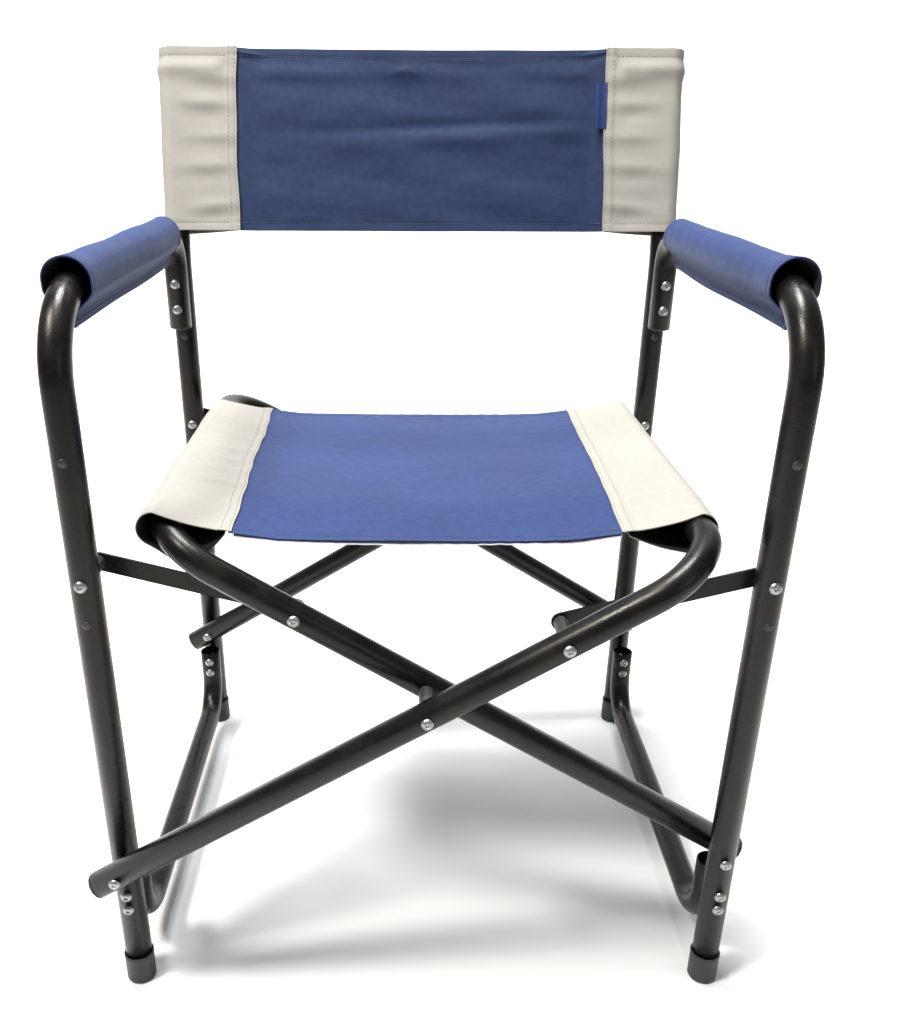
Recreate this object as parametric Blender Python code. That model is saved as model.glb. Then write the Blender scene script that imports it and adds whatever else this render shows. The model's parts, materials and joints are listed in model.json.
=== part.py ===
"""Folding steel director chair with a fabric seat, a fabric back and sleeved arms.

Metres, +Z up, the sitter faces -Y.  The origin is on the floor, under the middle of the
chair's box.  Two upright side frames carry the arms and the back.  Two U-shaped tubes, called
frame A and frame B here, cross between them at the front and at the back.  Their tops are the
seat rails.  Folding turns the U tubes about their crossing and brings the side frames together.
"""
import math

import bmesh
import bpy
from mathutils import Matrix, Vector

# ---- Driving dimensions, in metres ----
TUBE_R = 0.0125            # 25 mm steel tube everywhere
TUBE_WALL = 0.001
GAP = 0.0003               # air between faces that touch
LAYER = 2 * TUBE_R + GAP   # distance between two tubes riveted side by side
HALF_WIDTH = 0.277         # side frame's centre plane from the middle
LEG_Y = -0.2457            # front legs
POST_Y = LEG_Y + 0.459     # back posts
PIVOT_Z = 0.148            # low pivot of the crossing tubes
RAIL_X = 0.229             # seat rail from the middle
RAIL_Z = 0.458
LINK_X = 0.112             # strut pin on the crossing tube, from the middle
LINK_LEG_Z = 0.430         # strut pin on the side frame
ARM_Z = 0.652
ARM_FRONT_BEND = 0.066
ARM_REAR_BEND = 0.033
ARM_TAIL_Z = 0.552         # lower end of the arm tube, riveted to the post
POST_BEND_Z = 0.625
POST_TOP_Z = 0.832
POST_LEAN = math.radians(15)
POST_BEND = 0.12
FLOOR_RAIL_Z = 0.042
FLOOR_RAIL_END_Z = 0.122
FLOOR_RAIL_BEND = 0.045
RAIL_BEND = 0.060
CROSS_TAIL = 0.022         # crossing tube beyond its low pivot
FOOT_R = 0.0143
FOOT_H = 0.032
FOOT_FLOOR = 0.004         # thickness under the tube
RIVET_SHANK_R = 0.003
RIVET_HEAD_R = 0.0052
RIVET_HEAD_H = 0.0024
HOLE_R = 0.0036
STRUT_WIDTH = 0.016
STRUT_THICK = 0.0025
SPACER_R = 0.0065
CLOTH = 0.002
SLEEVE_R = TUBE_R + 0.0022 # inside of a cloth sleeve
SEAT_FRONT_Y = LEG_Y + 0.042
SEAT_BACK_Y = LEG_Y + 0.403
SEAT_SAG = 0.016
SEAT_SEAM_X = 0.166
BACK_LOW = 0.652           # height of the back's lower edge
BACK_HIGH = 0.838
BACK_SEAM_X = 0.206
PAD_FRONT_Y = LEG_Y + 0.056
PAD_BACK_Y = LEG_Y + 0.388
PAD_RISE = 0.006           # middle of the arm sleeve's crown above the arm tube's middle
PAD_R = 0.0185
PAD_DROP = 0.036           # sleeve's seam below the crown's middle
SEAT_ROOM = 0.026          # how far a bent rail may wander inside the seat's pocket
ARM_RIVETS_Z = (0.600, 0.572)
RAIL_RIVETS_Z = (0.110, 0.094)
SIDES = 12
RIVET_SIDES = 8
SPACER_SIDES = 10
BEND_STEPS = 4

SLOPE = (RAIL_Z - PIVOT_Z) / (HALF_WIDTH + RAIL_X)
CROSS_Z = PIVOT_Z + HALF_WIDTH * SLOPE
LINK_Z = CROSS_Z + LINK_X * SLOPE
# Rivet profiles as (radius, distance along the shank): the head's dome and the formed tail.
RIVET_HEAD = [(0, -RIVET_HEAD_H), (RIVET_HEAD_R * 0.72, -RIVET_HEAD_H * 0.7),
              (RIVET_HEAD_R, -RIVET_HEAD_H * 0.15), (RIVET_HEAD_R, 0)]
RIVET_TAIL = [(RIVET_HEAD_R * 0.9, 0), (RIVET_HEAD_R * 0.7, RIVET_HEAD_H * 0.7),
              (0, RIVET_HEAD_H * 0.9)]


# ---- Scene helpers ----
def clear_scene():
    """Remove every object that the file opened with."""
    for obj in list(bpy.data.objects):
        bpy.data.objects.remove(obj, do_unlink=True)


def make_material(name, colour, metallic, roughness):
    """Return a Principled material with the three values that matter here."""
    mat = bpy.data.materials.new(name)
    mat.use_nodes = True
    shader = mat.node_tree.nodes["Principled BSDF"]
    shader.inputs["Base Color"].default_value = (*colour, 1.0)
    shader.inputs["Metallic"].default_value = metallic
    shader.inputs["Roughness"].default_value = roughness
    return mat


def make_empty(name, place):
    """Return an empty that stands on a body's joint axis."""
    empty = bpy.data.objects.new(name, None)
    empty.location = place
    bpy.context.scene.collection.objects.link(empty)
    return empty


def make_object(name, bm, mat, body, smooth=True):
    """Turn a bmesh in world coordinates into an object whose origin is its body's axis."""
    bmesh.ops.recalc_face_normals(bm, faces=bm.faces)
    bm.transform(Matrix.Translation(-body.location))
    mesh = bpy.data.meshes.new(name)
    bm.to_mesh(mesh)
    bm.free()
    if smooth:
        mesh.shade_smooth()
        mesh.set_sharp_from_angle(angle=math.radians(40))
    mesh.materials.append(mat)
    obj = bpy.data.objects.new(name, mesh)
    obj.parent = body
    bpy.context.scene.collection.objects.link(obj)
    return obj


def combine(obj, name, bm, operation):
    """Add or take away a bmesh in world coordinates with a Boolean modifier."""
    body = obj.parent
    bmesh.ops.recalc_face_normals(bm, faces=bm.faces)
    bm.transform(Matrix.Translation(-body.location))
    mesh = bpy.data.meshes.new(name)
    bm.to_mesh(mesh)
    bm.free()
    tool = bpy.data.objects.new(name, mesh)
    tool.parent = body
    tool.hide_render = True
    tool.display_type = "WIRE"
    bpy.context.scene.collection.objects.link(tool)
    modifier = obj.modifiers.new(name, "BOOLEAN")
    modifier.operation = operation
    modifier.solver = "EXACT"
    modifier.object = tool


def drill(obj, holes):
    """Cut round holes along Y through an object; holes holds (x, y, z, length)."""
    bm = bmesh.new()
    for x, y, z, length in holes:
        turned = Matrix.Translation((x, y, z)) @ Matrix.Rotation(math.pi / 2, 4, "X")
        bmesh.ops.create_cone(bm, cap_ends=True, segments=10, radius1=HOLE_R,
                              radius2=HOLE_R, depth=length, matrix=turned)
    combine(obj, obj.name + "_drill", bm, "DIFFERENCE")


# ---- Shape helpers ----
def rounded_path(corners, radius):
    """Return points along a polyline whose inner corners are arcs of the given radii."""
    points = [Vector(corners[0])]
    for i in range(1, len(corners) - 1):
        here = Vector(corners[i])
        back = (Vector(corners[i - 1]) - here).normalized()
        ahead = (Vector(corners[i + 1]) - here).normalized()
        half = back.angle(ahead) / 2
        reach = radius[i - 1] / math.tan(half)
        centre = here + (back + ahead).normalized() * (radius[i - 1] / math.sin(half))
        first = here + back * reach - centre
        last = here + ahead * reach - centre
        steps = max(2, round(BEND_STEPS * (math.pi - 2 * half) / (math.pi / 2)))
        for k in range(steps + 1):
            spoke = first.normalized().slerp(last.normalized(), k / steps)
            points.append(centre + spoke * radius[i - 1])
    points.append(Vector(corners[-1]))
    return points


def ring_frames(points):
    """Yield (place, side, up) along a path, each cut square to it and carried without twist."""
    tangents = []
    for i in range(len(points)):
        ahead = (points[min(i + 1, len(points) - 1)] - points[i]).normalized()
        behind = (points[i] - points[max(i - 1, 0)]).normalized()
        tangents.append((ahead + behind).normalized())
    start = Vector((1, 0, 0)) if abs(tangents[0].x) < 0.9 else Vector((0, 1, 0))
    side = (start - tangents[0] * start.dot(tangents[0])).normalized()
    for place, tangent in zip(points, tangents):
        side = (side - tangent * side.dot(tangent)).normalized()
        yield place, side, tangent.cross(side)


def sweep(bm, points, radius):
    """Lay circles of the radius along a path and return their rings of vertices."""
    rings = []
    for place, side, up in ring_frames(points):
        ring = []
        for k in range(SIDES):
            angle = 2 * math.pi * (k + 0.5) / SIDES
            spoke = side * math.cos(angle) + up * math.sin(angle)
            ring.append(bm.verts.new(place + radius * spoke))
        rings.append(ring)
    return rings


def bridge(bm, ring_a, ring_b):
    """Join two rings of equal count with quads."""
    count = len(ring_a)
    for k in range(count):
        n = (k + 1) % count
        bm.faces.new((ring_a[k], ring_a[n], ring_b[n], ring_b[k]))


def make_tube(name, points, mat, body, holes):
    """Make a hollow tube with open ends along a path, drilled for its rivets."""
    bm = bmesh.new()
    outer = sweep(bm, points, TUBE_R)
    inner = sweep(bm, points, TUBE_R - TUBE_WALL)
    for rings in (outer, inner):
        for a, b in zip(rings, rings[1:]):
            bridge(bm, a, b)
    bridge(bm, outer[0], inner[0])
    bridge(bm, outer[-1], inner[-1])
    obj = make_object(name, bm, mat, body)
    drill(obj, holes)


def turn(bm, profile, place, axis, sides):
    """Turn (radius, distance along the axis) points; a radius of 0 closes the shape."""
    axis = Vector(axis).normalized()
    side = axis.orthogonal().normalized()
    up = axis.cross(side)
    rings = []
    for radius, along in profile:
        centre = Vector(place) + axis * along
        if radius == 0:
            rings.append([bm.verts.new(centre)])
            continue
        ring = []
        for k in range(sides):
            angle = 2 * math.pi * k / sides
            spoke = side * math.cos(angle) + up * math.sin(angle)
            ring.append(bm.verts.new(centre + radius * spoke))
        rings.append(ring)
    for a, b in zip(rings, rings[1:]):
        if len(a) > 1 and len(b) > 1:
            bridge(bm, a, b)
            continue
        tip, rim = (a[0], b) if len(a) == 1 else (b[0], a)
        for k in range(sides):
            bm.faces.new((tip, rim[k], rim[(k + 1) % sides]))


def make_turned(name, profile, place, axis, mat, body, sides=10):
    """Make one turned piece."""
    bm = bmesh.new()
    turn(bm, profile, place, axis, sides)
    return make_object(name, bm, mat, body)


def make_rivet(name, x, z, front_y, back_y, mat, body):
    """Make a rivet along Y through everything between two outer faces."""
    grip = back_y - front_y + 2 * GAP
    tail = [(radius, grip + along) for radius, along in RIVET_TAIL]
    profile = RIVET_HEAD + [(RIVET_SHANK_R, 0), (RIVET_SHANK_R, grip)] + tail
    return make_turned(name, profile, (x, front_y - GAP, z), (0, 1, 0), mat, body, RIVET_SIDES)


def make_stud(name, x, z, front_y, back_y, mat, body):
    """Make a rivet without its tail, which ends flush at back_y."""
    profile = RIVET_HEAD + [(RIVET_SHANK_R, 0), (RIVET_SHANK_R, back_y - front_y + GAP)]
    profile.append((0, back_y - front_y + GAP))
    return make_turned(name, profile, (x, front_y - GAP, z), (0, 1, 0), mat, body, RIVET_SIDES)


def make_spacer(name, x, z, front_y, back_y, mat, body):
    """Make a sleeve on a rivet, between two faces."""
    bore = RIVET_SHANK_R + 2 * GAP
    bm = bmesh.new()
    rings = []
    for radius, y in ((SPACER_R, front_y + GAP), (SPACER_R, back_y - GAP), (bore, back_y - GAP),
                      (bore, front_y + GAP)):
        ring = []
        for k in range(SPACER_SIDES):
            angle = 2 * math.pi * k / SPACER_SIDES
            ring.append(bm.verts.new((x + radius * math.cos(angle), y, z + radius * math.sin(angle))))
        rings.append(ring)
    for a, b in zip(rings, rings[1:] + rings[:1]):
        bridge(bm, a, b)
    return make_object(name, bm, mat, body)


def extrude(bm, outline, along):
    """Extrude a closed outline of points by the vector along."""
    low = [bm.verts.new(p) for p in outline]
    high = [bm.verts.new(Vector(p) + Vector(along)) for p in outline]
    bm.faces.new(low)
    bm.faces.new(high)
    bridge(bm, low, high)


def make_prism(name, outline, place, along, mat, body):
    """Make one extruded piece from an outline given in the frame of place."""
    bm = bmesh.new()
    extrude(bm, [place @ Vector(p) for p in outline], along)
    return make_object(name, bm, mat, body, smooth=False)


def ribbon_outline(line, thick):
    """Return the closed outline of a strip of even thickness along a 2-D line."""
    left, right = [], []
    for i, here in enumerate(line):
        before = line[max(i - 1, 0)]
        after = line[min(i + 1, len(line) - 1)]
        step = (Vector(after) - Vector(before)).normalized()
        normal = Vector((-step.y, step.x)) * (thick / 2)
        left.append(Vector(here) + normal)
        right.append(Vector(here) - normal)
    return left + right[::-1]


def arc(centre, radius, start, end, steps):
    """Return points on an arc, in degrees."""
    points = []
    for k in range(steps + 1):
        angle = math.radians(start + (end - start) * k / steps)
        points.append((centre[0] + radius * math.cos(angle), centre[1] + radius * math.sin(angle)))
    return points


# ---- Sub-assemblies ----
def build_side(side, name, body, mats):
    """Build one side frame: side is -1 for the sitter's right, at -X, and +1 for +X."""
    x = side * HALF_WIDTH
    steel, plastic, cloth, bright = mats["steel"], mats["plastic"], mats["blue"], mats["bright"]
    thru = 4 * TUBE_R
    arm_tail_y = POST_Y - LAYER
    leg = [(x, LEG_Y, FOOT_FLOOR + GAP), (x, LEG_Y, ARM_Z), (x, arm_tail_y, ARM_Z),
           (x, arm_tail_y, ARM_TAIL_Z)]
    holes = [(x, LEG_Y, z, thru) for z in (PIVOT_Z, LINK_LEG_Z) + RAIL_RIVETS_Z]
    holes += [(x, arm_tail_y, z, thru) for z in ARM_RIVETS_Z]
    make_tube(name + "_leg_and_arm_tube", rounded_path(leg, (ARM_FRONT_BEND, ARM_REAR_BEND)),
              steel, body, holes)

    make_plug(name + "_arm_plug", leg[-1], (0, 0, -1), plastic, body)

    top_y = POST_Y + (POST_TOP_Z - POST_BEND_Z) * math.tan(POST_LEAN)
    post = [(x, POST_Y, FOOT_FLOOR + GAP), (x, POST_Y, POST_BEND_Z), (x, top_y, POST_TOP_Z)]
    holes = [(x, POST_Y, z, thru) for z in (PIVOT_Z, LINK_LEG_Z) + RAIL_RIVETS_Z + ARM_RIVETS_Z]
    make_tube(name + "_back_post", rounded_path(post, (POST_BEND,)), steel, body, holes)

    front_y, rear_y = LEG_Y + LAYER, POST_Y - LAYER
    rail = [(x, front_y, FLOOR_RAIL_END_Z), (x, front_y, FLOOR_RAIL_Z), (x, rear_y, FLOOR_RAIL_Z),
            (x, rear_y, FLOOR_RAIL_END_Z)]
    holes = [(x, y, z, thru) for y in (front_y, rear_y) for z in RAIL_RIVETS_Z]
    make_tube(name + "_floor_rail", rounded_path(rail, (FLOOR_RAIL_BEND, FLOOR_RAIL_BEND)),
              steel, body, holes)

    bore = TUBE_R + GAP
    cup = ((0, 0), (FOOT_R - 0.0015, 0), (FOOT_R, 0.002), (FOOT_R, FOOT_H), (bore, FOOT_H),
           (bore, FOOT_FLOOR), (0, FOOT_FLOOR))
    for place, y in (("front", LEG_Y), ("rear", POST_Y)):
        make_turned(f"{name}_{place}_foot", cup, (x, y, 0), (0, 0, 1), plastic, body, SIDES)
    make_plug(name + "_post_cap", post[-1], (0, math.sin(POST_LEAN), math.cos(POST_LEAN)),
              plastic, body)

    for k, z in enumerate(ARM_RIVETS_Z):
        make_rivet(f"{name}_arm_rivet_{k + 1}", x, z, arm_tail_y - TUBE_R, POST_Y + TUBE_R,
                   bright, body)
    for k, z in enumerate(RAIL_RIVETS_Z):
        make_rivet(f"{name}_front_rail_rivet_{k + 1}", x, z, LEG_Y - TUBE_R, front_y + TUBE_R,
                   bright, body)
        make_rivet(f"{name}_rear_rail_rivet_{k + 1}", x, z, rear_y - TUBE_R, POST_Y + TUBE_R,
                   bright, body)
    build_arm_sleeve(x, name, cloth, body)


def build_arm_sleeve(x, name, cloth, body):
    """Build the cloth sleeve round an arm tube: a ring that hangs to a seam underneath."""
    bm = bmesh.new()
    rings = []
    for y in (PAD_FRONT_Y, PAD_BACK_Y):
        for radius, drop in ((PAD_R, PAD_DROP), (PAD_R - CLOTH, PAD_DROP - 0.012)):
            outline = [(px, pz + PAD_RISE) for px, pz in drop_outline(radius, drop)]
            ring = [bm.verts.new((x + px, y, ARM_Z + pz)) for px, pz in outline]
            rings.append(ring)
    outer_a, inner_a, outer_b, inner_b = rings
    for a, b in ((outer_a, outer_b), (inner_a, inner_b), (outer_a, inner_a), (outer_b, inner_b)):
        bridge(bm, a, b)
    make_object(name + "_arm_sleeve", bm, cloth, body)


def drop_outline(radius, drop):
    """Return a drop-shaped section: a half circle over a blunt point at the given depth."""
    points = arc((0, 0), radius, -10, 190, 8)
    points += [(-radius * 0.55, -drop * 0.72), (-0.0015, -drop), (0.0015, -drop)]
    points += [(radius * 0.55, -drop * 0.72)]
    return points


def make_plug(name, place, axis, mat, body):
    """Make a plastic plug in a tube's end."""
    cap_r, spigot_r = TUBE_R - 0.0002, TUBE_R - TUBE_WALL - 2 * GAP
    profile = ((0, -0.010), (spigot_r - 0.001, -0.010), (spigot_r, -0.008), (spigot_r, GAP),
               (cap_r, GAP), (cap_r, 0.0018), (cap_r * 0.7, 0.0032), (0, 0.0036))
    return make_turned(name, profile, place, axis, mat, body, SIDES)


def build_cross_frame(side, name, body, mats):
    """Build frame A (side +1) or B (side -1), a U whose rail is at side * RAIL_X."""
    layer = -side * LAYER
    front_y, rear_y = LEG_Y + layer, POST_Y + layer
    run = Vector((side, 0, SLOPE)).normalized()
    low = Vector((-side * HALF_WIDTH, 0, PIVOT_Z)) - run * CROSS_TAIL
    corners = [(low.x, front_y, low.z), (side * RAIL_X, front_y, RAIL_Z),
               (side * RAIL_X, rear_y, RAIL_Z), (low.x, rear_y, low.z)]
    holes = []
    for y in (front_y, rear_y):
        holes += [(-side * HALF_WIDTH, y, PIVOT_Z, 4 * TUBE_R), (0, y, CROSS_Z, 4 * TUBE_R),
                  (side * LINK_X, y, LINK_Z, 4 * TUBE_R)]
    make_tube(name + "_tube", rounded_path(corners, (RAIL_BEND, RAIL_BEND)), mats["steel"],
              body, holes)
    for place, y in (("front", front_y), ("rear", rear_y)):
        make_plug(f"{name}_{place}_plug", (low.x, y, low.z), -run, mats["plastic"], body)


def build_cross_pins(body, mats):
    """Build the crossing's two rivets and the sleeves that keep the U tubes apart."""
    for place, y in (("front", LEG_Y), ("rear", POST_Y)):
        make_rivet(f"{place}_cross_rivet", 0, CROSS_Z, y - LAYER - TUBE_R, y + LAYER + TUBE_R,
                   mats["bright"], body)
        make_spacer(f"{place}_cross_spacer", 0, CROSS_Z, y - LAYER + TUBE_R, y + LAYER - TUBE_R,
                    mats["plastic"], body)


def build_low_pivots(side, name, body, mats):
    """Build the rivets that hold a crossing tube's low ends to one side frame."""
    for place, y in (("front", LEG_Y), ("rear", POST_Y)):
        front = y - TUBE_R - (LAYER if side < 0 else 0)
        back = y + TUBE_R + (LAYER if side > 0 else 0)
        make_rivet(f"{name}_{place}_pivot_rivet", side * HALF_WIDTH, PIVOT_Z, front, back,
                   mats["bright"], body)


def build_strut(side, place, y, bodies, mats):
    """Build one strut, from a side frame to the crossing tube on its own side.

    The strut is free of the crossing tube's pin: the pin ends at the strut's front face, and the
    strut's own body carries the closing head behind it.
    """
    name = "left" if side < 0 else "right"
    frame, cross, strut = bodies["frame"], bodies["cross"], bodies["strut"]
    leg_back = y + TUBE_R
    cross_back = y - side * LAYER + TUBE_R
    plane = max(leg_back, cross_back) + GAP
    leg_pin = Vector((side * HALF_WIDTH, 0, LINK_LEG_Z))
    cross_pin = Vector((side * LINK_X, 0, LINK_Z))
    run = (cross_pin - leg_pin).normalized()
    across = Vector((-run.z, 0, run.x))
    outline = []
    for pin, sign in ((cross_pin, 1), (leg_pin, -1)):
        for k in range(7):
            angle = math.radians(90 - 30 * k)
            spoke = run * (sign * math.cos(angle)) + across * (sign * math.sin(angle))
            outline.append(pin + spoke * (STRUT_WIDTH / 2) + Vector((0, plane, 0)))
    bar = make_prism(f"{name}_{place}_strut", outline, Matrix.Identity(4), (0, STRUT_THICK, 0),
                     mats["steel"], strut)
    drill(bar, [(leg_pin.x, plane, leg_pin.z, 4 * STRUT_THICK)])
    back = plane + STRUT_THICK
    head = bmesh.new()
    turn(head, [(0, -GAP), (RIVET_TAIL[0][0], -GAP)] + RIVET_TAIL[1:],
         (cross_pin.x, back, cross_pin.z), (0, 1, 0), RIVET_SIDES)
    combine(bar, bar.name + "_head", head, "UNION")
    make_rivet(f"{name}_{place}_strut_leg_rivet", leg_pin.x, leg_pin.z, y - TUBE_R, back,
               mats["bright"], frame)
    make_stud(f"{name}_{place}_strut_cross_rivet", cross_pin.x, cross_pin.z,
              y - side * LAYER - TUBE_R, plane - GAP, mats["bright"], cross)
    if side < 0:
        make_spacer(f"{name}_{place}_strut_spacer", leg_pin.x, leg_pin.z, leg_back, plane,
                    mats["plastic"], frame)
    else:
        make_spacer(f"{name}_{place}_strut_spacer", cross_pin.x, cross_pin.z, cross_back, plane,
                    mats["plastic"], cross)


def sleeve_line(rail_x, seam_x, top_at_seam, room=(0, 0)):
    """Return half a cloth section in 2-D: under the rail, round it and to the seam on top.

    room moves the underside away, so that the sleeve stays clear of a rail that bends inside it.
    """
    radius = SLEEVE_R + CLOTH / 2
    turn_at = math.degrees(math.atan2(room[1], room[0])) + 90 if any(room) else -100
    line = [(seam_x + 0.006, top_at_seam - CLOTH - 2 * GAP)]
    if any(room):
        line += arc((rail_x + room[0], room[1]), radius, -140, turn_at, 5)
    line += arc((rail_x, 0), radius, turn_at, 100, 8)
    return line


def build_seat(body, mats):
    """Build the seat: one strip of cloth with a sleeve round each seat rail."""
    radius = SLEEVE_R + CLOTH / 2
    top = radius * math.sin(math.radians(100))

    def sag(x):
        return top - SEAT_SAG * (1 - (x / RAIL_X) ** 2)

    run = Vector((-1, -SLOPE)).normalized() * SEAT_ROOM
    half = sleeve_line(RAIL_X, SEAT_SEAM_X, sag(SEAT_SEAM_X), tuple(run))
    middle = [(SEAT_SEAM_X * k / 4, sag(SEAT_SEAM_X * k / 4)) for k in range(4, -5, -1)]
    line = half + middle + [(-px, pz) for px, pz in reversed(half)]
    outline = [(p.x, 0, p.y) for p in ribbon_outline(line, CLOTH)]
    place = Matrix.Translation((0, SEAT_FRONT_Y, RAIL_Z))
    make_prism("seat_cloth", outline, place, (0, SEAT_BACK_Y - SEAT_FRONT_Y, 0), mats["blue"],
               body)


def build_back(body, mats):
    """Build the back: one strip of cloth with a sleeve round each leaning post."""
    half = sleeve_line(HALF_WIDTH, BACK_SEAM_X, SLEEVE_R + CLOTH / 2)
    line = half + [(-px, depth) for px, depth in reversed(half)]
    outline = [(p.x, -p.y, 0) for p in ribbon_outline(line, CLOTH)]
    low_y = POST_Y + (BACK_LOW - POST_BEND_Z) * math.tan(POST_LEAN)
    place = Matrix.Translation((0, low_y, BACK_LOW)) @ Matrix.Rotation(-POST_LEAN, 4, "X")
    height = (BACK_HIGH - BACK_LOW) / math.cos(POST_LEAN)
    along = (0, height * math.sin(POST_LEAN), height * math.cos(POST_LEAN))
    make_prism("back_cloth", outline, place, along, mats["blue"], body)


def build_chair():
    """Build every body of the chair on its own empty."""
    clear_scene()
    mats = {
        "steel": make_material("black_tube", (0.02, 0.02, 0.021), 0.4, 0.35),
        "bright": make_material("bright_rivet", (0.62, 0.62, 0.60), 1.0, 0.35),
        "plastic": make_material("black_plastic", (0.015, 0.015, 0.016), 0.0, 0.5),
        "blue": make_material("blue_cloth", (0.05, 0.09, 0.27), 0.0, 0.85),
    }
    low_left = Vector((-HALF_WIDTH, LEG_Y, PIVOT_Z))
    low_right = Vector((HALF_WIDTH, LEG_Y, PIVOT_Z))
    left = make_empty("axis_left_frame", low_left)
    right = make_empty("axis_right_frame", low_right)
    frame_a = make_empty("axis_frame_a", low_left)
    frame_b = make_empty("axis_frame_b", (0, LEG_Y, CROSS_Z))
    build_side(-1, "left", left, mats)
    build_side(1, "right", right, mats)
    build_low_pivots(-1, "left", left, mats)
    build_low_pivots(1, "right", right, mats)
    build_cross_frame(1, "frame_a", frame_a, mats)
    build_cross_frame(-1, "frame_b", frame_b, mats)
    build_cross_pins(frame_a, mats)
    for side, frame, cross in ((-1, left, frame_b), (1, right, frame_a)):
        for place, y in (("front", LEG_Y), ("rear", POST_Y)):
            label = "left" if side < 0 else "right"
            axis = make_empty(f"axis_{label}_{place}_strut", (side * HALF_WIDTH, y, LINK_LEG_Z))
            build_strut(side, place, y, {"frame": frame, "cross": cross, "strut": axis}, mats)
    build_seat(frame_b, mats)
    build_back(left, mats)


build_chair()
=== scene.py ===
"""Looks of a folding director chair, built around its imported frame.

Metres, +Z up, the sitter faces -Y. Tubes, rivets and feet are drawn again with fine surfaces, and
the plain cloth solids are replaced with sewn panels of woven cloth.
"""
from __future__ import annotations

import json
import logging
import math
from dataclasses import dataclass, field
from enum import Enum
from typing import Callable, Iterable, Sequence

import bmesh
import bpy
import numpy as np
from mathutils import Matrix, Vector

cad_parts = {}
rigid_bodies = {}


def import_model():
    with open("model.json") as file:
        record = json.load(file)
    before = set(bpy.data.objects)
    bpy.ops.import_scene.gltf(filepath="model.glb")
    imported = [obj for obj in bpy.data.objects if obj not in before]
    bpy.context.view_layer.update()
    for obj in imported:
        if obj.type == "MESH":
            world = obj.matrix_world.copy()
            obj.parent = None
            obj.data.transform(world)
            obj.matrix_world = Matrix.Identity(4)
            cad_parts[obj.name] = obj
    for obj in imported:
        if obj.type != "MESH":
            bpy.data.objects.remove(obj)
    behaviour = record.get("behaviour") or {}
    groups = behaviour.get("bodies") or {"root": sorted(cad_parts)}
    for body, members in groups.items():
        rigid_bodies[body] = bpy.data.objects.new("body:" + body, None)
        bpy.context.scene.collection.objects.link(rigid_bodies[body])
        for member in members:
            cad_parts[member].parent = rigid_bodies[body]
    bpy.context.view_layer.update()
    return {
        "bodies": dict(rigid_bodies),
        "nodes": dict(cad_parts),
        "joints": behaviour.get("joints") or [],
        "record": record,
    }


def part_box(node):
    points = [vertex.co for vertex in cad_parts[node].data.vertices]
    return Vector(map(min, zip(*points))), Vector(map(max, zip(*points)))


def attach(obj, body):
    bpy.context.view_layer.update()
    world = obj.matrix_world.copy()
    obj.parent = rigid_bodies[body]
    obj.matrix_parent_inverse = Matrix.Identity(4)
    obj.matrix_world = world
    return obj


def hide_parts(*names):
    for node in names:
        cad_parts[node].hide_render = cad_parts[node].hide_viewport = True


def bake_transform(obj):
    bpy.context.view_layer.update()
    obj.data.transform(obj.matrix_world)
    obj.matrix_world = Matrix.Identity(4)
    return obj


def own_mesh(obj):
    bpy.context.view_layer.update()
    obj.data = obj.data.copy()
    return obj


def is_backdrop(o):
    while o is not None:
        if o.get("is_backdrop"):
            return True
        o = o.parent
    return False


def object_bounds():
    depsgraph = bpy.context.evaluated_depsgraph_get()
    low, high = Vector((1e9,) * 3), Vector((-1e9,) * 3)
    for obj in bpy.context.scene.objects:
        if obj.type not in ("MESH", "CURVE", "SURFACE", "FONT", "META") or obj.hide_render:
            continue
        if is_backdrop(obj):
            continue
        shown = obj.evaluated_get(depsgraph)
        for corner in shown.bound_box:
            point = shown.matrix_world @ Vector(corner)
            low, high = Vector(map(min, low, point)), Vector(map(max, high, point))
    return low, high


LOG = logging.getLogger("chair")
TUBE_RADIUS = 0.0125
POST_BEND_Z = 0.625
LEAN = math.radians(15)
SEAM_BAND = 0.0105
SEAM_ROWS = (0.0022, SEAM_BAND - 0.0012)
LOOP_RADIUS = 0.0151
STITCH_GROOVE = 0.0009
SIDES = {-1: "left", 1: "right"}
STITCH_ABOVE = 0.00055


class Body(str, Enum):
    """Rigid bodies of the chair that pieces ride on."""

    LEFT = "left_frame"
    RIGHT = "right_frame"
    TUBE_A = "frame_a"
    TUBE_B = "frame_b"


class Slot(str, Enum):
    """Material slots named in the record."""

    TUBE = "black_tube"
    RIVET = "bright_rivet"
    PLASTIC = "black_plastic"
    BLUE = "blue_cloth"
    PALE = "pale_cloth"


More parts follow.
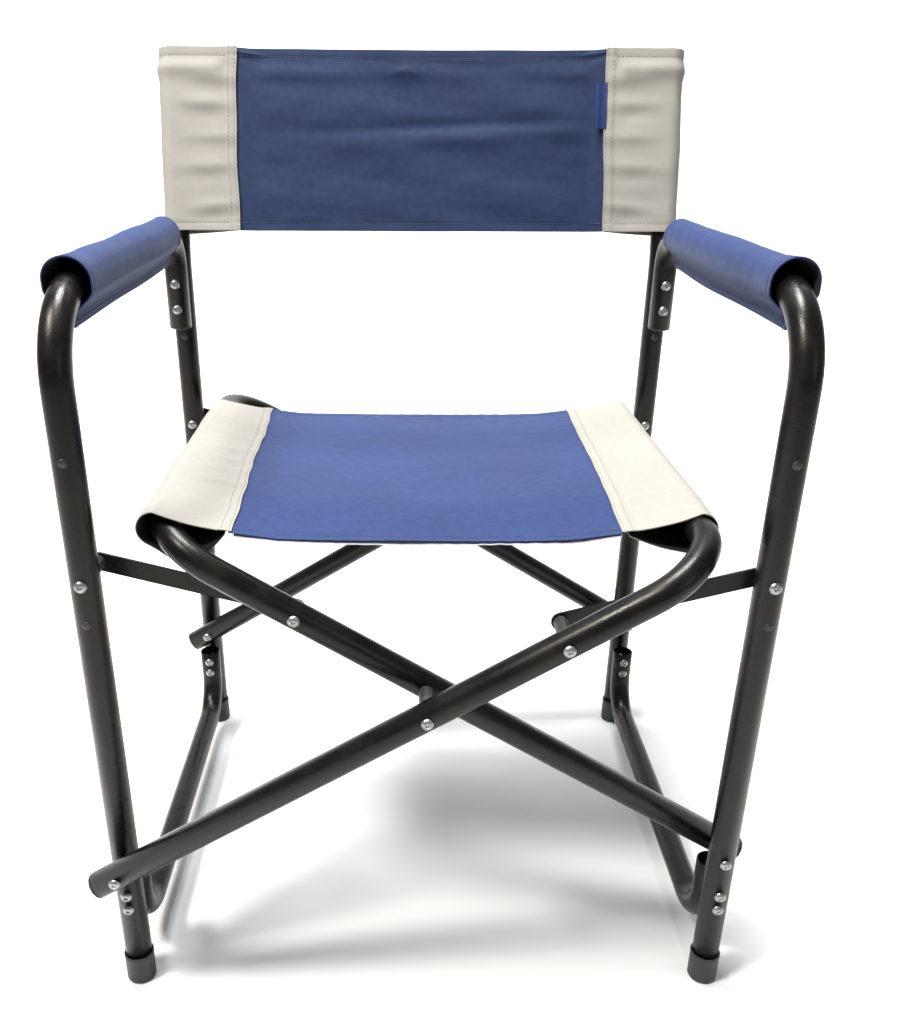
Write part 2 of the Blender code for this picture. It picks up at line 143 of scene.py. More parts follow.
# ---------------------------------------------------------------------------
# Node helpers and finishes
# ---------------------------------------------------------------------------
class Nodes:
    """A small wrapper that adds and links the nodes of one tree."""

    def __init__(self, tree: bpy.types.NodeTree) -> None:
        """Keep the tree that nodes are added to."""
        self.tree = tree

    def add(self, kind: str, inputs: dict | None = None, **settings) -> bpy.types.Node:
        """Add a node.

        Args:
            kind: Blender's type name of the node.
            inputs: values or sockets for the node's inputs, by name or index.
            settings: attributes to set on the node.

        Returns:
            The new node.
        """
        node = self.tree.nodes.new(kind)
        for name, value in settings.items():
            setattr(node, name, value)
        for key, value in (inputs or {}).items():
            if isinstance(value, bpy.types.NodeSocket):
                self.tree.links.new(value, node.inputs[key])
            else:
                node.inputs[key].default_value = value
        return node

    def math(self, operation: str, a: object, b: object = 0.0) -> bpy.types.NodeSocket:
        """Return the output of a Math node on two values or sockets."""
        return self.add("ShaderNodeMath", {0: a, 1: b}, operation=operation).outputs[0]

    def place(self) -> bpy.types.NodeSocket:
        """Return the object coordinates."""
        return self.add("ShaderNodeTexCoord").outputs["Object"]

    def flat(self) -> tuple[bpy.types.NodeSocket, bpy.types.Node]:
        """Return a sheet's own map, which is in metres, whole and split into its axes."""
        flat = self.add("ShaderNodeUVMap", uv_map="flat").outputs[0]
        return flat, self.add("ShaderNodeSeparateXYZ", {0: flat})

    def noise(self, vector: bpy.types.NodeSocket, scale: float, detail: float = 2.0,
              roughness: float = 0.5) -> bpy.types.NodeSocket:
        """Return the value of a noise texture at a vector."""
        inputs = {"Vector": vector, "Scale": scale, "Detail": detail, "Roughness": roughness}
        return self.add("ShaderNodeTexNoise", inputs).outputs[0]

    def wave(self, value: bpy.types.NodeSocket, pitch: float) -> bpy.types.NodeSocket:
        """Return a sine of a value with the given pitch."""
        return self.math("SINE", self.math("MULTIPLY", value, 2 * math.pi / pitch))

    def ramp(self, value: bpy.types.NodeSocket, low: float, high: float, out_low: float,
             out_high: float) -> bpy.types.NodeSocket:
        """Return a value mapped from one clamped range to another."""
        inputs = {"Value": value, "From Min": low, "From Max": high, "To Min": out_low, "To Max": out_high}
        return self.add("ShaderNodeMapRange", inputs).outputs[0]

    def blend(self, factor: object, first: tuple, second: tuple) -> bpy.types.NodeSocket:
        """Return a colour mixed from two colours."""
        node = self.add("ShaderNodeMix", data_type="RGBA")
        node.inputs[6].default_value = (*first, 1.0)
        node.inputs[7].default_value = (*second, 1.0)
        self.tree.links.new(factor, node.inputs[0])
        return node.outputs[2]

    def tone(self, value: bpy.types.NodeSocket, low: float, high: float, first: tuple,
             second: tuple) -> bpy.types.NodeSocket:
        """Return a colour that goes from the first to the second over a range of a value."""
        return self.blend(self.ramp(value, low, high, 0.0, 1.0), first, second)

    def bump(self, height: bpy.types.NodeSocket, distance: float, strength: float = 1.0,
             normal: bpy.types.NodeSocket | None = None) -> bpy.types.NodeSocket:
        """Return a bumped normal."""
        inputs = {"Height": height, "Distance": distance, "Strength": strength}
        if normal is not None:
            inputs["Normal"] = normal
        return self.add("ShaderNodeBump", inputs).outputs[0]


def new_material(name: str) -> tuple[bpy.types.Material, Nodes, bpy.types.Node]:
    """Return a new material, its node helper and its Principled shader."""
    material = bpy.data.materials.new(name)
    material.use_nodes = True
    shader = material.node_tree.nodes["Principled BSDF"]
    return material, Nodes(material.node_tree), shader


def fill_shader(shader: bpy.types.Node, values: dict[str, object]) -> None:
    """Give a shader's inputs, by name, a socket to follow or a constant."""
    for name, value in values.items():
        if isinstance(value, bpy.types.NodeSocket):
            shader.id_data.links.new(value, shader.inputs[name])
        else:
            shader.inputs[name].default_value = value


@dataclass(frozen=True)
class HardFinish:
    """A hard surface with clouds of a second colour and of gloss, and a fine grain."""

    name: str
    base: tuple
    cloudy: tuple
    cloud: tuple
    spread: tuple
    gloss: tuple
    grain: tuple
    relief: tuple
    constants: dict = field(default_factory=dict)

    def build(self) -> bpy.types.Material:
        """Return the material."""
        material, nodes, shader = new_material(self.name)
        place = nodes.place()
        cloud = nodes.noise(place, *self.cloud)
        fill_shader(shader, {
            "Base Color": nodes.tone(cloud, *self.spread, self.base, self.cloudy),
            "Roughness": nodes.ramp(cloud, 0.3, 0.7, *self.gloss),
            "Normal": nodes.bump(nodes.noise(place, *self.grain), *self.relief), **self.constants})
        return material


POWDER_COAT = HardFinish(
    "powder_coat", (0.0040, 0.0038, 0.0036), (0.010, 0.009, 0.0075), cloud=(38.0, 4.0, 0.6),
    spread=(0.45, 0.75), gloss=(0.24, 0.36), grain=(850.0, 1.0), relief=(0.00020, 0.7),
    constants={"Specular IOR Level": 0.24, "Specular Tint": (1.0, 0.94, 0.86, 1.0)})
ZINC = HardFinish(
    "zinc_rivet", (0.34, 0.34, 0.33), (0.15, 0.147, 0.143), cloud=(260.0, 3.0, 0.6),
    spread=(0.5, 0.72), gloss=(0.30, 0.48), grain=(1400.0,), relief=(0.0001, 0.3),
    constants={"Metallic": 0.9})
MOULDED_PLASTIC = HardFinish(
    "moulded_plastic", (0.014, 0.014, 0.015), (0.045, 0.043, 0.040), cloud=(90.0, 5.0, 0.65),
    spread=(0.5, 0.8), gloss=(0.45, 0.6), grain=(900.0, 3.0), relief=(0.0002, 0.35))


@dataclass(frozen=True)
class WovenCloth:
    """Coated plain-weave polyester; the weave follows the piece's own map, which is in metres."""

    name: str
    base: tuple
    shade: tuple
    thread_pitch: float = 0.0011
    weave_depth: float = 0.00016
    crumple_depth: float = 0.0011
    sheen: float = 0.25
    roughness: float = 0.72

    def build(self) -> bpy.types.Material:
        """Return the material."""
        material, nodes, shader = new_material(self.name)
        flat, parts = nodes.flat()
        warp, weft = (nodes.wave(parts.outputs[k], self.thread_pitch) for k in range(2))
        weave = nodes.math("MULTIPLY", warp, weft)
        slub = nodes.noise(flat, 320.0, 2.0)
        cloud = nodes.noise(flat, 9.0, 4.0, 0.55)
        fine = nodes.noise(flat, 130.0, 3.0, 0.6)
        tone = nodes.math("ADD", nodes.math("MULTIPLY", cloud, 0.65), nodes.math("MULTIPLY", fine, 0.35))
        tone = nodes.math("ADD", tone, nodes.math("MULTIPLY", weave, 0.05))
        crumpled = nodes.bump(nodes.noise(flat, 24.0, 3.0, 0.5), self.crumple_depth, 0.8)
        fill_shader(shader, {
            "Base Color": nodes.tone(tone, 0.35, 0.68, self.base, self.shade),
            "Roughness": nodes.ramp(fine, 0.3, 0.7, self.roughness - 0.06, self.roughness + 0.06),
            "Normal": nodes.bump(nodes.math("ADD", weave, slub), self.weave_depth, 0.6, crumpled),
            "Sheen Weight": self.sheen, "Sheen Roughness": 0.45, "Specular IOR Level": 0.25})
        return material


@dataclass(frozen=True)
class SewingThread:
    """Twisted sewing thread."""

    name: str
    base: tuple

    def build(self) -> bpy.types.Material:
        """Return the material."""
        material, nodes, shader = new_material(self.name)
        darker = tuple(value * 0.72 for value in self.base)
        twist = nodes.noise(nodes.place(), 1800.0, 2.0)
        fill_shader(shader, {
            "Base Color": nodes.tone(twist, 0.35, 0.65, self.base, darker),
            "Normal": nodes.bump(twist, 0.0002, 0.5), "Roughness": 0.6, "Sheen Weight": 0.3})
        return material


@dataclass(frozen=True)
class SatinLabel:
    """Blank woven satin of the small label, with one lighter line along its loose edge."""

    base: tuple = (0.002, 0.016, 0.090)
    line: tuple = (0.012, 0.040, 0.14)
    line_at: float = 0.0012
    line_width: float = 0.0005
    rib_pitch: float = 0.0007

    def build(self) -> bpy.types.Material:
        """Return the material."""
        material, nodes, shader = new_material("satin_label")
        flat, parts = nodes.flat()
        away = nodes.math("ABSOLUTE", nodes.math("SUBTRACT", parts.outputs[0], self.line_at))
        fill_shader(shader, {
            "Base Color": nodes.blend(nodes.math("LESS_THAN", away, self.line_width), self.base, self.line),
            "Normal": nodes.bump(nodes.wave(parts.outputs[1], self.rib_pitch), 0.0001, 0.4),
            "Roughness": nodes.ramp(nodes.noise(flat, 200.0), 0.3, 0.7, 0.42, 0.56)})
        return material


class Finishes:
    """Every finish of the chair, built once."""

    def __init__(self) -> None:
        """Build the materials."""
        self.tube = POWDER_COAT.build()
        self.rivet = ZINC.build()
        self.plastic = MOULDED_PLASTIC.build()
        self.blue = WovenCloth(
            "navy_cloth", (0.0115, 0.0300, 0.114), (0.0082, 0.0220, 0.084), sheen=0.08).build()
        # A darker copy of the navy cloth for the back: painted shade, as the back gets less light than the
        # seat.
        self.back_painted_shade_blue = WovenCloth(
            "navy_back_cloth", (0.0080, 0.0205, 0.067), (0.0057, 0.0150, 0.050), sheen=0.06).build()
        self.pale = WovenCloth(
            "stone_cloth", (0.300, 0.283, 0.252), (0.268, 0.252, 0.221), sheen=0.05,
            crumple_depth=0.0006).build()
        # Dark cloth for the inner faces of the seat sleeves and arm wraps: painted shade, where the real
        # cloth only lies in shadow.
        self.inner_painted_shade = WovenCloth(
            "dark_lining", (0.016, 0.017, 0.020), (0.010, 0.011, 0.013), sheen=0.05).build()
        self.tape = WovenCloth("hem_tape", (0.66, 0.64, 0.70), (0.5, 0.48, 0.55), sheen=0.1).build()
        self.pale_thread = SewingThread("stone_thread", (0.22, 0.195, 0.155)).build()
        self.blue_thread = SewingThread("navy_thread", (0.006, 0.011, 0.042)).build()
        self.label = SatinLabel().build()


# ---------------------------------------------------------------------------
# Mesh helpers
# ---------------------------------------------------------------------------
def add_object(name: str, mesh: bpy.types.Mesh,
               material: bpy.types.Material | None = None) -> bpy.types.Object:
    """Link a mesh to the scene as an object at the origin."""
    if material is not None:
        mesh.materials.clear()
        mesh.materials.append(material)
    obj = bpy.data.objects.new(name, mesh)
    bpy.context.scene.collection.objects.link(obj)
    return obj


def claim(piece: bpy.types.Object, body: str, slot: Slot, *nodes: str) -> None:
    """Fix a piece to a body and hide the nodes it stands for."""
    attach(piece, body)
    if nodes:
        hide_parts(*nodes)


def smooth_mesh(mesh: bpy.types.Mesh, degrees: float = 40.0) -> None:
    """Shade a mesh smooth but for edges sharper than the angle."""
    mesh.shade_smooth()
    mesh.set_sharp_from_angle(angle=math.radians(degrees))


def rounded_path(corners: Sequence[Vector], radii: Sequence[float], steps: int) -> list[Vector]:
    """Return a polyline with its inner corners turned into arcs.

    Args:
        corners: the route's corners.
        radii: one bend radius for each inner corner.
        steps: arc steps for a quarter turn.

    Returns:
        The points of the rounded route.
    """
    points = [Vector(corners[0])]
    for i, radius in enumerate(radii, start=1):
        here = Vector(corners[i])
        back = (Vector(corners[i - 1]) - here).normalized()
        ahead = (Vector(corners[i + 1]) - here).normalized()
        half = back.angle(ahead) / 2
        reach = radius / math.tan(half)
        centre = here + (back + ahead).normalized() * (radius / math.sin(half))
        first = (here + back * reach - centre).normalized()
        last = (here + ahead * reach - centre).normalized()
        count = max(3, round(steps * (math.pi - 2 * half) / (math.pi / 2)))
        points += [centre + first.slerp(last, k / count) * radius for k in range(count + 1)]
    points.append(Vector(corners[-1]))
    return points


def tube_mesh(name: str, points: Sequence[Vector], radius: float, wall: float,
              sides: int = 40) -> bpy.types.Mesh:
    """Return a hollow tube with rounded open ends along a path.

    Args:
        name: the mesh's name.
        points: the tube's centre line.
        radius: outer radius.
        wall: thickness of the wall.
        sides: faces round the tube.

    Returns:
        The closed mesh of the tube's wall.
    """
    line = np.array([tuple(p) for p in points])
    steps = np.diff(line, axis=0)
    steps /= np.linalg.norm(steps, axis=1)[:, None]
    tangents = np.vstack([steps[:1], steps[:-1] + steps[1:], steps[-1:]])
    tangents /= np.linalg.norm(tangents, axis=1)[:, None]
    side = np.array([1.0, 0, 0]) if abs(tangents[0][0]) < 0.9 else np.array([0, 1.0, 0])
    angles = 2 * np.pi * np.arange(sides) / sides
    rings_out, rings_in = [], []
    for place, tangent in zip(line, tangents):
        side = side - tangent * side.dot(tangent)
        side = side / np.linalg.norm(side)
        up = np.cross(tangent, side)
        spokes = np.outer(np.cos(angles), side) + np.outer(np.sin(angles), up)
        rings_out.append(place + radius * spokes)
        rings_in.append(place + (radius - wall) * spokes)
    lip = wall * 0.35
    first, last = rings_out[0] - line[0], rings_out[-1] - line[-1]
    rings_out[0] = line[0] + tangents[0] * lip + first
    rings_out[-1] = line[-1] - tangents[-1] * lip + last
    rings_out.insert(0, line[0] + first * (1 - lip / radius))
    rings_out.append(line[-1] + last * (1 - lip / radius))
    rings = rings_out + rings_in[::-1]
    verts = np.vstack(rings)
    faces = []
    for i in range(len(rings)):
        j = (i + 1) % len(rings)
        for k in range(sides):
            n = (k + 1) % sides
            faces.append((i * sides + k, i * sides + n, j * sides + n, j * sides + k))
    mesh = bpy.data.meshes.new(name)
    mesh.from_pydata(verts.tolist(), [], faces)
    outward(mesh)
    smooth_mesh(mesh, 50.0)
    return mesh


def outward(mesh: bpy.types.Mesh) -> None:
    """Turn a closed mesh's faces outwards."""
    bm = bmesh.new()
    bm.from_mesh(mesh)
    bmesh.ops.recalc_face_normals(bm, faces=bm.faces)
    bm.to_mesh(mesh)
    bm.free()


def turned_mesh(name: str, profile: Sequence[tuple[float, float]], place: Vector, axis: Vector,
                sides: int = 32) -> bpy.types.Mesh:
    """Return a turned shape.

    Args:
        name: the mesh's name.
        profile: (radius, distance along the axis) pairs; a radius of 0 closes an end.
        place: the profile's origin.
        axis: the direction of the turning axis.
        sides: faces round the axis.

    Returns:
        The mesh, with its faces outwards.
    """
    bm = bmesh.new()
    axis = Vector(axis).normalized()
    side = axis.orthogonal().normalized()
    up = axis.cross(side)
    rings = []
    for radius, along in profile:
        centre = Vector(place) + axis * along
        count = sides if radius > 0 else 1
        ring = []
        for k in range(count):
            angle = 2 * math.pi * k / count
            ring.append(bm.verts.new(centre + radius * (side * math.cos(angle) + up * math.sin(angle))))
        rings.append(ring)
    for a, b in zip(rings, rings[1:]):
        for k in range(sides):
            n = (k + 1) % sides
            corners = [a[k % len(a)], a[n % len(a)], b[n % len(b)], b[k % len(b)]]
            bm.faces.new(list(dict.fromkeys(corners)))
    bmesh.ops.recalc_face_normals(bm, faces=bm.faces)
    mesh = bpy.data.meshes.new(name)
    bm.to_mesh(mesh)
    bm.free()
    smooth_mesh(mesh)
    return mesh


# ---------------------------------------------------------------------------
# Geometry Nodes: rivets and stitches
# ---------------------------------------------------------------------------
class Scatter:
    """A Geometry Nodes tree with named inputs that is run on one object and made a plain mesh."""

    def __init__(self, name: str, inputs: Iterable[tuple[str, str, object]]) -> None:
        """Start a tree with a geometry input, the named inputs and a geometry output."""
        self.tree = bpy.data.node_groups.new(name, "GeometryNodeTree")
        face = self.tree.interface
        face.new_socket("Geometry", in_out="INPUT", socket_type="NodeSocketGeometry")
        for label, kind, value in inputs:
            socket = face.new_socket(label, in_out="INPUT", socket_type=kind)
            if value is not None:
                socket.default_value = value
        face.new_socket("Geometry", in_out="OUTPUT", socket_type="NodeSocketGeometry")
        self.nodes = Nodes(self.tree)
        self.given = self.nodes.add("NodeGroupInput")
        self.result = self.nodes.add("NodeGroupOutput")

    def finish(self, geometry: bpy.types.NodeSocket) -> None:
        """End the tree with Realize Instances and Set Material."""
        real = self.nodes.add("GeometryNodeRealizeInstances", {0: geometry})
        shaded = self.nodes.add("GeometryNodeSetShadeSmooth", {0: real.outputs[0]})
        painted = self.nodes.add("GeometryNodeSetMaterial", {
            "Geometry": shaded.outputs[0], "Material": self.given.outputs["Finish"]})
        self.tree.links.new(painted.outputs[0], self.result.inputs[0])

    def run(self, obj: bpy.types.Object, values: dict[str, object]) -> bpy.types.Object:
        """Run the tree on an object and keep the result as its plain mesh.

        Args:
            obj: the object whose mesh the tree starts from.
            values: the modifier's inputs by their names.

        Returns:
            The same object with its final mesh and no modifier.
        """
        modifier = obj.modifiers.new(self.tree.name, "NODES")
        modifier.node_group = self.tree
        for item in self.tree.interface.items_tree:
            if item.in_out == "INPUT" and item.name in values:
                modifier[item.identifier] = values[item.name]
        obj.update_tag()
        graph = bpy.context.evaluated_depsgraph_get()
        mesh = bpy.data.meshes.new_from_object(obj.evaluated_get(graph))
        obj.modifiers.remove(modifier)
        old = obj.data
        obj.data = mesh
        mesh.name = obj.name
        bpy.data.meshes.remove(old)
        return obj


def stitch_scatter() -> Scatter:
    """Return the tree that lays thread stitches along a line of vertices."""
    scatter = Scatter("stitches", (
        ("Pitch", "NodeSocketFloat", 0.0042), ("Stitch Length", "NodeSocketFloat", 0.003),
        ("Thread Radius", "NodeSocketFloat", 0.00045), ("Finish", "NodeSocketMaterial", None)))
    nodes, given = scatter.nodes, scatter.given
    curve = nodes.add("GeometryNodeMeshToCurve", {0: given.outputs["Geometry"]})
    even = nodes.add("GeometryNodeResampleCurve", mode="LENGTH")
    scatter.tree.links.new(curve.outputs[0], even.inputs["Curve"])
    scatter.tree.links.new(given.outputs["Pitch"], even.inputs["Length"])
    tangent = nodes.add("GeometryNodeInputTangent")
    facing = nodes.add("FunctionNodeAlignRotationToVector", {"Vector": tangent.outputs[0]}, axis="Z")
    half = nodes.math("MULTIPLY", given.outputs["Stitch Length"], 0.5)
    size = nodes.add("ShaderNodeCombineXYZ", {
        0: given.outputs["Thread Radius"], 1: given.outputs["Thread Radius"], 2: half})
    thread = nodes.add("GeometryNodeMeshUVSphere", {"Segments": 6, "Rings": 5, "Radius": 1.0})
    laid = nodes.add("GeometryNodeInstanceOnPoints", {
        "Points": even.outputs[0], "Instance": thread.outputs[0],
        "Rotation": facing.outputs[0], "Scale": size.outputs[0]})
    scatter.finish(laid.outputs[0])
    return scatter


def rivet_scatter() -> Scatter:
    """Return the tree that sets a head, a shank and a tail at each vertex, grip apart along Y."""
    scatter = Scatter("rivets", (
        ("Head", "NodeSocketObject", None), ("Tail", "NodeSocketObject", None),
        ("Shank Radius", "NodeSocketFloat", 0.003), ("Finish", "NodeSocketMaterial", None)))
    nodes, given = scatter.nodes, scatter.given
    grip = nodes.add("GeometryNodeInputNamedAttribute", {"Name": "grip"}, data_type="FLOAT").outputs[0]
    head = nodes.add("GeometryNodeObjectInfo", {"Object": given.outputs["Head"]})
    tail = nodes.add("GeometryNodeObjectInfo", {"Object": given.outputs["Tail"]})
    heads = nodes.add("GeometryNodeInstanceOnPoints", {
        "Points": given.outputs["Geometry"], "Instance": head.outputs["Geometry"]})
    shift = nodes.add("ShaderNodeCombineXYZ", {1: grip})
    moved = nodes.add("GeometryNodeSetPosition", {
        "Geometry": given.outputs["Geometry"], "Offset": shift.outputs[0]})
    tails = nodes.add("GeometryNodeInstanceOnPoints", {
        "Points": moved.outputs[0], "Instance": tail.outputs["Geometry"]})
    bar = nodes.add("GeometryNodeMeshCylinder", {
        "Vertices": 16, "Radius": given.outputs["Shank Radius"], "Depth": 1.0})
    laid = nodes.add("GeometryNodeTransform", {
        "Geometry": bar.outputs[0], "Translation": (0.0, 0.5, 0.0), "Rotation": (math.pi / 2, 0.0, 0.0)})
    stretch = nodes.add("ShaderNodeCombineXYZ", {0: 1.0, 1: grip, 2: 1.0})
    shanks = nodes.add("GeometryNodeInstanceOnPoints", {
        "Points": given.outputs["Geometry"], "Instance": laid.outputs[0], "Scale": stretch.outputs[0]})
    joined = nodes.add("GeometryNodeJoinGeometry")
    for source in (heads, tails, shanks):
        scatter.tree.links.new(source.outputs[0], joined.inputs[0])
    scatter.finish(joined.outputs[0])
    return scatter


@dataclass
class Sewing:
    """Lays rows of stitches along lines of points."""

    finishes: Finishes
    scatter: Scatter = field(default_factory=stitch_scatter)
    pitch: float = 0.0042
    length: float = 0.0030
    radius: float = 0.00045

    def rows(self, name: str, lines: Sequence[np.ndarray], thread: bpy.types.Material,
             slot: Slot) -> bpy.types.Object:
        """Lay stitches along lines of points.

        Args:
            name: the piece's name.
            lines: arrays of points, one for each row of stitches.
            thread: the thread's finish.
            slot: the record's slot that the thread goes with; not used.

        Returns:
            The piece, one plain mesh.
        """
        verts, edges = [], []
        for line in lines:
            start = len(verts)
            verts += [tuple(map(float, point)) for point in line]
            edges += [(start + k, start + k + 1) for k in range(len(line) - 1)]
        mesh = bpy.data.meshes.new(name)
        mesh.from_pydata(verts, edges, [])
        piece = add_object(name, mesh)
        self.scatter.run(piece, {"Pitch": self.pitch, "Stitch Length": self.length,
                                 "Thread Radius": self.radius, "Finish": thread})
        return piece


# ---------------------------------------------------------------------------
# Steel: tubes, feet and rivets
# ---------------------------------------------------------------------------
@dataclass
class Steelwork:
    """Tubes, feet and rivets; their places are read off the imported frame."""

    finishes: Finishes
    wall: float = 0.001
    gap: float = 0.0003
    bend_steps: int = 16
    arm_front_bend: float = 0.066
    arm_rear_bend: float = 0.033
    post_bend: float = 0.12
    floor_rail_bend: float = 0.045
    rail_bend: float = 0.060
    head_radius: float = 0.0054
    head_height: float = 0.0026
    head_inset: float = 0.0024
    tail_inset: float = 0.0022
    pivot_overhang: float = 0.022
    foot_floor: float = 0.004
    spare_holes: tuple = (("leg_and_arm_tube", 0.533), ("leg_and_arm_tube", 0.395), ("back_post", 0.537))

    def tube(self, node: str, corners: Sequence[Vector], radii: Sequence[float], body: Body) -> None:
        """Draw a fine tube in place of a faceted one."""
        mesh = tube_mesh(node, rounded_path(corners, radii, self.bend_steps), TUBE_RADIUS, self.wall)
        claim(add_object("fine_" + node, mesh, self.finishes.tube), body.value, Slot.TUBE, node)
        LOG.info("tube %s", node)

    def side(self, side: str, body: Body) -> None:
        """Draw the tubes and feet of one side frame."""
        r = TUBE_RADIUS
        low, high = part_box(side + "_leg_and_arm_tube")
        x, start = (low.x + high.x) / 2, low.z
        leg, arm, tail = low.y + r, high.z - r, high.y - r
        tail_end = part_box(side + "_arm_plug")[0].z + 0.0036
        low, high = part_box(side + "_back_post")
        post, top = low.y + r, high.z - r * math.sin(LEAN)
        lean_back = (top - POST_BEND_Z) * math.tan(LEAN)
        low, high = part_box(side + "_floor_rail")
        front, rear, rail, rail_end = low.y + r, high.y - r, low.z + r, high.z
        tubes = (
            ("leg_and_arm_tube", ((leg, start), (leg, arm), (tail, arm), (tail, tail_end)),
             (self.arm_front_bend, self.arm_rear_bend)),
            ("back_post", ((post, start), (post, POST_BEND_Z), (post + lean_back, top)), (self.post_bend,)),
            ("floor_rail", ((front, rail_end), (front, rail), (rear, rail), (rear, rail_end)),
             (self.floor_rail_bend, self.floor_rail_bend)))
        for name, route, radii in tubes:
            self.tube(f"{side}_{name}", [Vector((x, y, z)) for y, z in route], radii, body)
        for place in ("front", "rear"):
            self.foot(f"{side}_{place}_foot", body)

    def cross(self, name: str, way: int, body: Body) -> None:
        """Draw one crossing tube; way is +1 if its seat rail is at +X."""
        r = TUBE_RADIUS
        low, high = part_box(name + "_tube")
        rail = Vector((way * (max(high.x * way, low.x * way) - r), 0, high.z - r))
        pivot = self.centre("left_front_pivot_rivet" if way > 0 else "right_front_pivot_rivet")
        pivot.y = 0
        end = pivot - (rail - pivot).normalized() * self.pivot_overhang
        front, rear = low.y + r, high.y - r
        stops = ((end, front), (rail, front), (rail, rear), (end, rear))
        route = [Vector((at.x, y, at.z)) for at, y in stops]
        self.tube(name + "_tube", route, (self.rail_bend, self.rail_bend), body)

    @staticmethod
    def centre(node: str) -> Vector:
        """Return the middle of a node's box."""
        low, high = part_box(node)
        return (low + high) / 2

    def foot(self, node: str, body: Body) -> None:
        """Draw a plastic foot with a rolled rim and a rounded sole."""
        low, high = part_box(node)
        x, y = (low.x + high.x) / 2, (low.y + high.y) / 2
        radius, height, bore, floor = (high.x - low.x) / 2, high.z, TUBE_RADIUS + self.gap, self.foot_floor
        profile = [(0, 0), (radius - 0.0022, 0), (radius - 0.0008, 0.0005), (radius, 0.002),
                   (radius, height - 0.0042), (radius + 0.0003, height - 0.0036),
                   (radius + 0.0003, height - 0.0012), (radius - 0.0004, height - 0.0003),
                   (bore + 0.0006, height), (bore, height - 0.0006), (bore, floor), (0, floor)]
        mesh = turned_mesh(node, profile, (x, y, 0), (0, 0, 1), 48)
        claim(add_object("fine_" + node, mesh, self.finishes.plastic), body.value, Slot.PLASTIC, node)

    def library(self) -> tuple[bpy.types.Object, bpy.types.Object, bpy.types.Object]:
        """Return the rivet's domed head, its rolled tail and the dark disc that is painted shade in an
        empty hole.
        """
        r, h = self.head_radius, self.head_height
        dome = [(0, -h * 0.45), (r * 0.22, -h * 0.52), (r * 0.34, -h * 0.98), (r * 0.50, -h * 0.94),
                (r * 0.74, -h * 0.72), (r * 0.92, -h * 0.36), (r, 0), (0, 0)]
        rolled = [(0, h * 0.25), (r * 0.34, h * 0.25), (r * 0.42, h * 0.62), (r * 0.58, h * 0.80),
                  (r * 0.76, h * 0.66), (r * 0.86, h * 0.30), (r * 0.88, 0), (0, 0)]
        # Profile of the dark disc that is painted shade in an empty hole.
        hole_shade = [(0, -0.0011), (0.0022, -0.0010), (0.0034, -0.0005), (0.0038, 0), (0.0038, 0.001),
                  (0, 0.001)]
        shapes = (("rivet_head", dome), ("rivet_tail", rolled), ("leg_button", hole_shade))
        return tuple(add_object(name, turned_mesh(name, profile, (0, 0, 0), (0, 1, 0), 24))
                     for name, profile in shapes)

    def rivets(self, bodies: dict) -> None:
        """Set every rivet again, dark discs as painted shade in the empty holes of the legs, and the heads
        behind the struts.
        """
        scatter = rivet_scatter()
        head, tail, hole_shade = self.library()
        blank = add_object("no_tail", bpy.data.meshes.new("no_tail"))
        bright, dark = self.finishes.rivet, self.finishes.plastic
        for body, nodes in bodies.items():
            names = sorted(n for n in nodes if "rivet" in n)
            if names:
                piece = self.fasteners(body + "_rivets", *self.grips(names))
                scatter.run(piece, {"Head": head, "Tail": tail, "Shank Radius": 0.003, "Finish": bright})
                claim(piece, body, Slot.RIVET, *names)
                LOG.info("%d rivets on %s", len(names), body)
        # Dark plastic discs at the empty holes: painted shade of the holes.
        for side, body in (("left", Body.LEFT), ("right", Body.RIGHT)):
            x = self.centre(side + "_leg_and_arm_tube").x
            spots = [(x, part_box(f"{side}_{node}")[0].y, z) for node, z in self.spare_holes]
            piece = self.fasteners(side + "_leg_buttons", spots, [0.001] * len(spots))
            scatter.run(piece, {"Head": hole_shade, "Tail": blank, "Shank Radius": 0.002, "Finish": dark})
            claim(piece, body.value, Slot.PLASTIC)
        for strut in (f"{side}_{place}_strut" for side in ("left", "right") for place in ("front", "rear")):
            back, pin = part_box(strut)[1].y - self.tail_inset, self.centre(strut + "_cross_rivet")
            piece = self.fasteners(strut + "_head", [(-pin.x, -back, pin.z)], [0.0006])
            scatter.run(piece, {"Head": head, "Tail": blank, "Shank Radius": 0.002, "Finish": bright})
            piece.data.transform(Matrix.Rotation(math.pi, 4, "Z"))
            claim(piece, strut, Slot.RIVET)
        for obj in (head, tail, hole_shade, blank):
            bpy.data.objects.remove(obj)

    def grips(self, names: Sequence[str]) -> tuple[list[tuple], list[float]]:
        """Return where the named rivets' heads sit and how much each rivet holds."""
        spots, grips = [], []
        for name in names:
            low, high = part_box(name)
            spots.append((((low.x + high.x) / 2), low.y + self.head_inset, (low.z + high.z) / 2))
            tail = 0.0 if "strut_cross" in name else self.tail_inset
            grips.append(high.y - low.y - self.head_inset - tail)
        return spots, grips

    @staticmethod
    def fasteners(name: str, spots: Sequence[tuple], grips: Sequence[float]) -> bpy.types.Object:
        """Return an object of loose vertices that carry a grip length each."""
        mesh = bpy.data.meshes.new(name)
        mesh.from_pydata(list(spots), [], [])
        mesh.attributes.new("grip", "FLOAT", "POINT").data.foreach_set("value", list(grips))
        return add_object(name, mesh)

    def dress(self, nodes: dict[str, bpy.types.Object]) -> None:
        """Give the carried-over solids their finishes."""
        for name, obj in nodes.items():
            if obj.hide_render:
                continue
            plain = name.endswith(("plug", "cap", "spacer", "foot"))
            obj.data.materials.clear()
            obj.data.materials.append(self.finishes.plastic if plain else self.finishes.tube)

    def build(self, frame: dict) -> None:
        """Build all the steelwork."""
        for side, body in (("left", Body.LEFT), ("right", Body.RIGHT)):
            self.side(side, body)
        self.cross("frame_a", 1, Body.TUBE_A)
        self.cross("frame_b", -1, Body.TUBE_B)
        self.rivets(frame["record"]["behaviour"]["bodies"])


